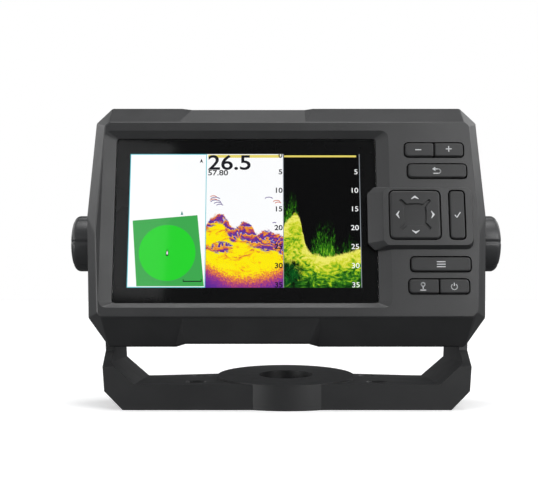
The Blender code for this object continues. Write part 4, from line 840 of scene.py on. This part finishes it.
def screen():
    third = 1 / 3
    white, dark = chart_pane(third)
    yellow = lit("header yellow", (0.90, 0.75, 0.16))
    grey = lit("divider grey", (0.30, 0.33, 0.36))
    left, width = screen_point(third, 0)[0], PICTURE_WIDTH / 3
    pane("sonar_pane", third, 2 * third, sonar_picture("sonar picture", left, width))
    pane("scan_pane", 2 * third, 1.0, scan_picture("scan picture", left + width, width))
    for name, first, last, low, high in (
        ("sonar_header", third + 0.006, 2 * third - 0.012, 0.972, 0.994),
        ("scan_header", 2 * third + 0.004, 0.985, 0.976, 0.990),
    ):
        (x0, z0), (x1, z1) = screen_point(first, low), screen_point(last, high)
        patch(name, [rectangle(x0, x1, z0, z1)], yellow, 0.06)
    for name, across in (("pane_divider", 2 * third), ("right_divider", 0.9985)):
        x, z = screen_point(across, 0.0)
        top = screen_point(0, 1.0)[1]
        patch(name, [rectangle(x - 0.16 * MM, x + 0.16 * MM, z, top)], grey, 0.09)
    number("depth_readout", "26.5", 6.9 * MM, third + 0.004, 0.882, dark, bold=0.02, wide=1.22)
    number("temperature_readout", "57.80", 2.5 * MM, third + 0.005, 0.838, dark, bold=0.025, wide=1.2)
    depth_numbers("sonar_scale", 2 * third - 0.003, dark, 0, 0.03)
    depth_numbers("scan_scale", 0.992, white, 1, 0.0)
    fish_arcs(third)


def lens_mask():
    """The black border printed behind the lens, open over the lit picture."""
    edge = 0.3 * MM
    outer = rectangle(LENS[0] + edge, LENS[1] - edge, LENS[2] + edge, LENS[3] - edge, 1.4 * MM)
    (left, bottom), (right, top) = screen_point(0.0, 0.0), screen_point(1.0, 1.0)
    spare = 0.15 * MM
    inner = rectangle(left - spare, right + spare, bottom - spare, top + spare, 0.3 * MM)
    mask = ring_plate("lens_mask", outer, inner, LENS_BACK + 0.04 * MM, 0.05 * MM)
    on_case(give(mask, MASK))


# ------------------------------------------------------------------ key symbols


def symbol(name, body, outlines, front):
    """White ink on a key: a thin film just proud of the key's face, which rides with the key."""
    obj = plates(name, outlines, front - 0.04 * MM, 0.08 * MM)
    on_case(give(obj, SYMBOL), body)


def key_middle(node):
    """A key's middle in the case's own frame, as (x, z)."""
    low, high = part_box(node)
    middle = CASE_MATRIX.inverted() @ ((low + high) / 2)
    return middle.x, middle.z


def chevron(x, z, turn, reach, half, thick):
    """A bold arrowhead at a distance from the pad's middle, turned about it."""
    points = [(reach + thick, 0), (reach, half), (reach - thick * 0.25, half), (reach + thick * 0.25, 0),
              (reach - thick * 0.25, -half), (reach, -half)]
    rotation = Matrix.Rotation(turn, 2)
    return [rotation @ Vector(p) + Vector((x, z)) for p in points]


def symbols():
    line = 0.44 * MM
    x, z = key_middle("zoom_out_key")
    minus = stroke([(x - 1.4 * MM, z), (x + 1.4 * MM, z)], line)
    symbol("minus_symbol", "zoom_out_key", minus, ROW_KEY_FRONT)
    x, z = key_middle("zoom_in_key")
    x, z = x - 0.7 * MM, z + 0.4 * MM
    plus = stroke([(x - 1.4 * MM, z), (x + 1.4 * MM, z)], line)
    plus += stroke([(x, z + 0.3 * MM), (x, z + 1.4 * MM)], line)
    plus += stroke([(x, z - 1.4 * MM), (x, z - 0.3 * MM)], line)
    symbol("plus_symbol", "zoom_in_key", plus, ROW_KEY_FRONT)

    x, z = key_middle("back_key")
    x -= 0.25 * MM
    hook = [(x - 1.3 * MM, z + 0.9 * MM)]
    hook += arc(x + 0.7 * MM, z - 0.15 * MM, 1.05 * MM, 90, -90) + [(x - 1.6 * MM, z - 1.2 * MM)]
    tip, foot, top = (-2.1 * MM, 0.9 * MM), (-0.7 * MM, -0.1 * MM), (-0.7 * MM, 1.9 * MM)
    head = [[Vector((x + dx, z + dz)) for dx, dz in (tip, foot, top)]]
    symbol("back_symbol", "back_key", stroke(hook, line) + head, ROW_KEY_FRONT)

    x, z = key_middle("select_key")
    tick = [(x - 1.2 * MM, z + 0.1 * MM), (x - 0.3 * MM, z - 1.1 * MM), (x + 1.4 * MM, z + 1.4 * MM)]
    symbol("select_symbol", "select_key", stroke(tick, line), SELECT_FRONT)

    x, z = key_middle("menu_key")
    bars = []
    for k in (-1, 0, 1):
        bars += stroke([(x - 2.0 * MM, z + k * 1.15 * MM), (x + 2.0 * MM, z + k * 1.15 * MM)], line)
    symbol("menu_symbol", "menu_key", bars, ROW_KEY_FRONT)

    x, z = key_middle("mark_key")
    ring = stroke(arc(x, z + 0.9 * MM, 0.85 * MM, 0, 345, 20), 0.5 * MM, True)
    ring += stroke([(x, z), (x, z - 1.1 * MM)], 0.5 * MM)
    ring += stroke([(x - 1.3 * MM, z - 1.7 * MM), (x + 1.3 * MM, z - 1.7 * MM)], 0.45 * MM)
    symbol("mark_symbol", "mark_key", ring, ROW_KEY_FRONT)

    x, z = key_middle("power_key")
    x -= 0.8 * MM
    power = stroke(arc(x, z - 0.15 * MM, 1.35 * MM, 125, 415, 22), 0.42 * MM)
    power += stroke([(x, z + 0.2 * MM), (x, z + 1.7 * MM)], 0.42 * MM)
    symbol("power_symbol", "power_key", power, ROW_KEY_FRONT)

    x, z = PAD_MIDDLE
    arrows = [chevron(x, z, pi / 2 * k, 7.6 * MM, 1.7 * MM, 1.4 * MM) for k in range(4)]
    symbol("cursor_symbols", "cursor_pad", arrows, PAD_FRONT)


# ------------------------------------------------------------------ studio


def area_light(name, place, target, size, energy):
    light = bpy.data.lights.new(name, "AREA")
    light.shape = "RECTANGLE"
    light.size, light.size_y = size
    light.energy = energy
    obj = bpy.data.objects.new(name, light)
    bpy.context.scene.collection.objects.link(obj)
    obj.location = place
    obj.rotation_mode = "QUATERNION"
    obj.rotation_quaternion = (Vector(target) - Vector(place)).to_track_quat("-Z", "Y")


def sun(name, azimuth, elevation, strength, spread):
    """A broad soft light far away. The azimuth counts from the front (-Y) towards +X."""
    light = bpy.data.lights.new(name, "SUN")
    light.energy = strength
    light.angle = radians(spread)
    obj = bpy.data.objects.new(name, light)
    bpy.context.scene.collection.objects.link(obj)
    across, up = radians(azimuth), radians(elevation)
    away = Vector((sin(across) * cos(up), -cos(across) * cos(up), sin(up)))
    obj.rotation_mode = "QUATERNION"
    obj.rotation_quaternion = away.to_track_quat("Z", "Y")


def floor():
    """A plain pale floor, lifted to white by a little light of its own, that doesn't light the object."""
    bm = bmesh.new()
    bmesh.ops.create_grid(bm, x_segments=2, y_segments=2, size=30.0)
    plane = object_from("studio_floor", bm)
    plane.location.z = -0.02 * MM
    plane.visible_diffuse = False
    plane.visible_glossy = False
    g = Graph("studio floor")
    tone = g.ramp(g.noise(2, 2), [(0.3, (0.84, 0.84, 0.84)), (0.7, (0.87, 0.87, 0.87))])
    g.put(tone, g.shader.inputs["Base Color"])
    g.shader.inputs["Roughness"].default_value = 0.85
    g.shader.inputs["Specular IOR Level"].default_value = 0.1
    g.shader.inputs["Emission Color"].default_value = (1, 1, 1, 1)
    g.shader.inputs["Emission Strength"].default_value = 0.36
    give(plane, g.material)


def surroundings():
    """A white backdrop for the camera, and a dim even light for everything else."""
    world = bpy.data.worlds.new("studio")
    bpy.context.scene.world = world
    world.use_nodes = True
    tree = world.node_tree
    dim = tree.nodes["Background"]
    dim.inputs["Color"].default_value = (0.95, 0.97, 1.0, 1)
    dim.inputs["Strength"].default_value = 0.12
    white = tree.nodes.new("ShaderNodeBackground")
    white.inputs["Color"].default_value = (1, 1, 1, 1)
    white.inputs["Strength"].default_value = 1.0
    path = tree.nodes.new("ShaderNodeLightPath")
    mixed = tree.nodes.new("ShaderNodeMixShader")
    tree.links.new(path.outputs["Is Camera Ray"], mixed.inputs["Fac"])
    tree.links.new(dim.outputs[0], mixed.inputs[1])
    tree.links.new(white.outputs[0], mixed.inputs[2])
    tree.links.new(mixed.outputs[0], tree.nodes["World Output"].inputs["Surface"])


def studio():
    scene = bpy.context.scene
    scene.view_settings.view_transform = "Standard"
    surroundings()
    sun("overhead", 10, 84, 1.45, 34)
    sun("front_left", -50, 10, 0.42, 36)
    sun("front_right", 52, 8, 0.32, 36)
    sun("left", -78, 30, 0.5, 40)
    sun("right", 78, 22, 0.35, 40)
    sun("back_left", -118, 26, 0.7, 40)
    sun("back_right", 125, 30, 0.7, 40)
    middle = (0, 0, 0.09)
    area_light("left_card", (-0.62, -2.1, 0.78), middle, (0.6, 0.5), 0.5)
    area_light("right_box", (0.33, -0.42, 0.27), (0.06, 0, 0.09), (0.26, 0.40), 1.7)
    area_light("left_low", (-0.36, -0.24, 0.06), (-0.10, 0, 0.08), (0.16, 0.16), 0.4)

    lens = bpy.data.cameras.new("camera")
    lens.sensor_width = 36.0
    lens.lens = CAMERA_LENS
    lens.clip_start = 0.01
    camera = bpy.data.objects.new("camera", lens)
    scene.collection.objects.link(camera)
    camera.location = CAMERA_PLACE
    camera.rotation_euler = (CAMERA_PITCH, 0, 0)
    scene.camera = camera


finish_cad_nodes()
knobs()
cursor_pad()
lens_mask()
screen()
symbols()
floor()
studio()
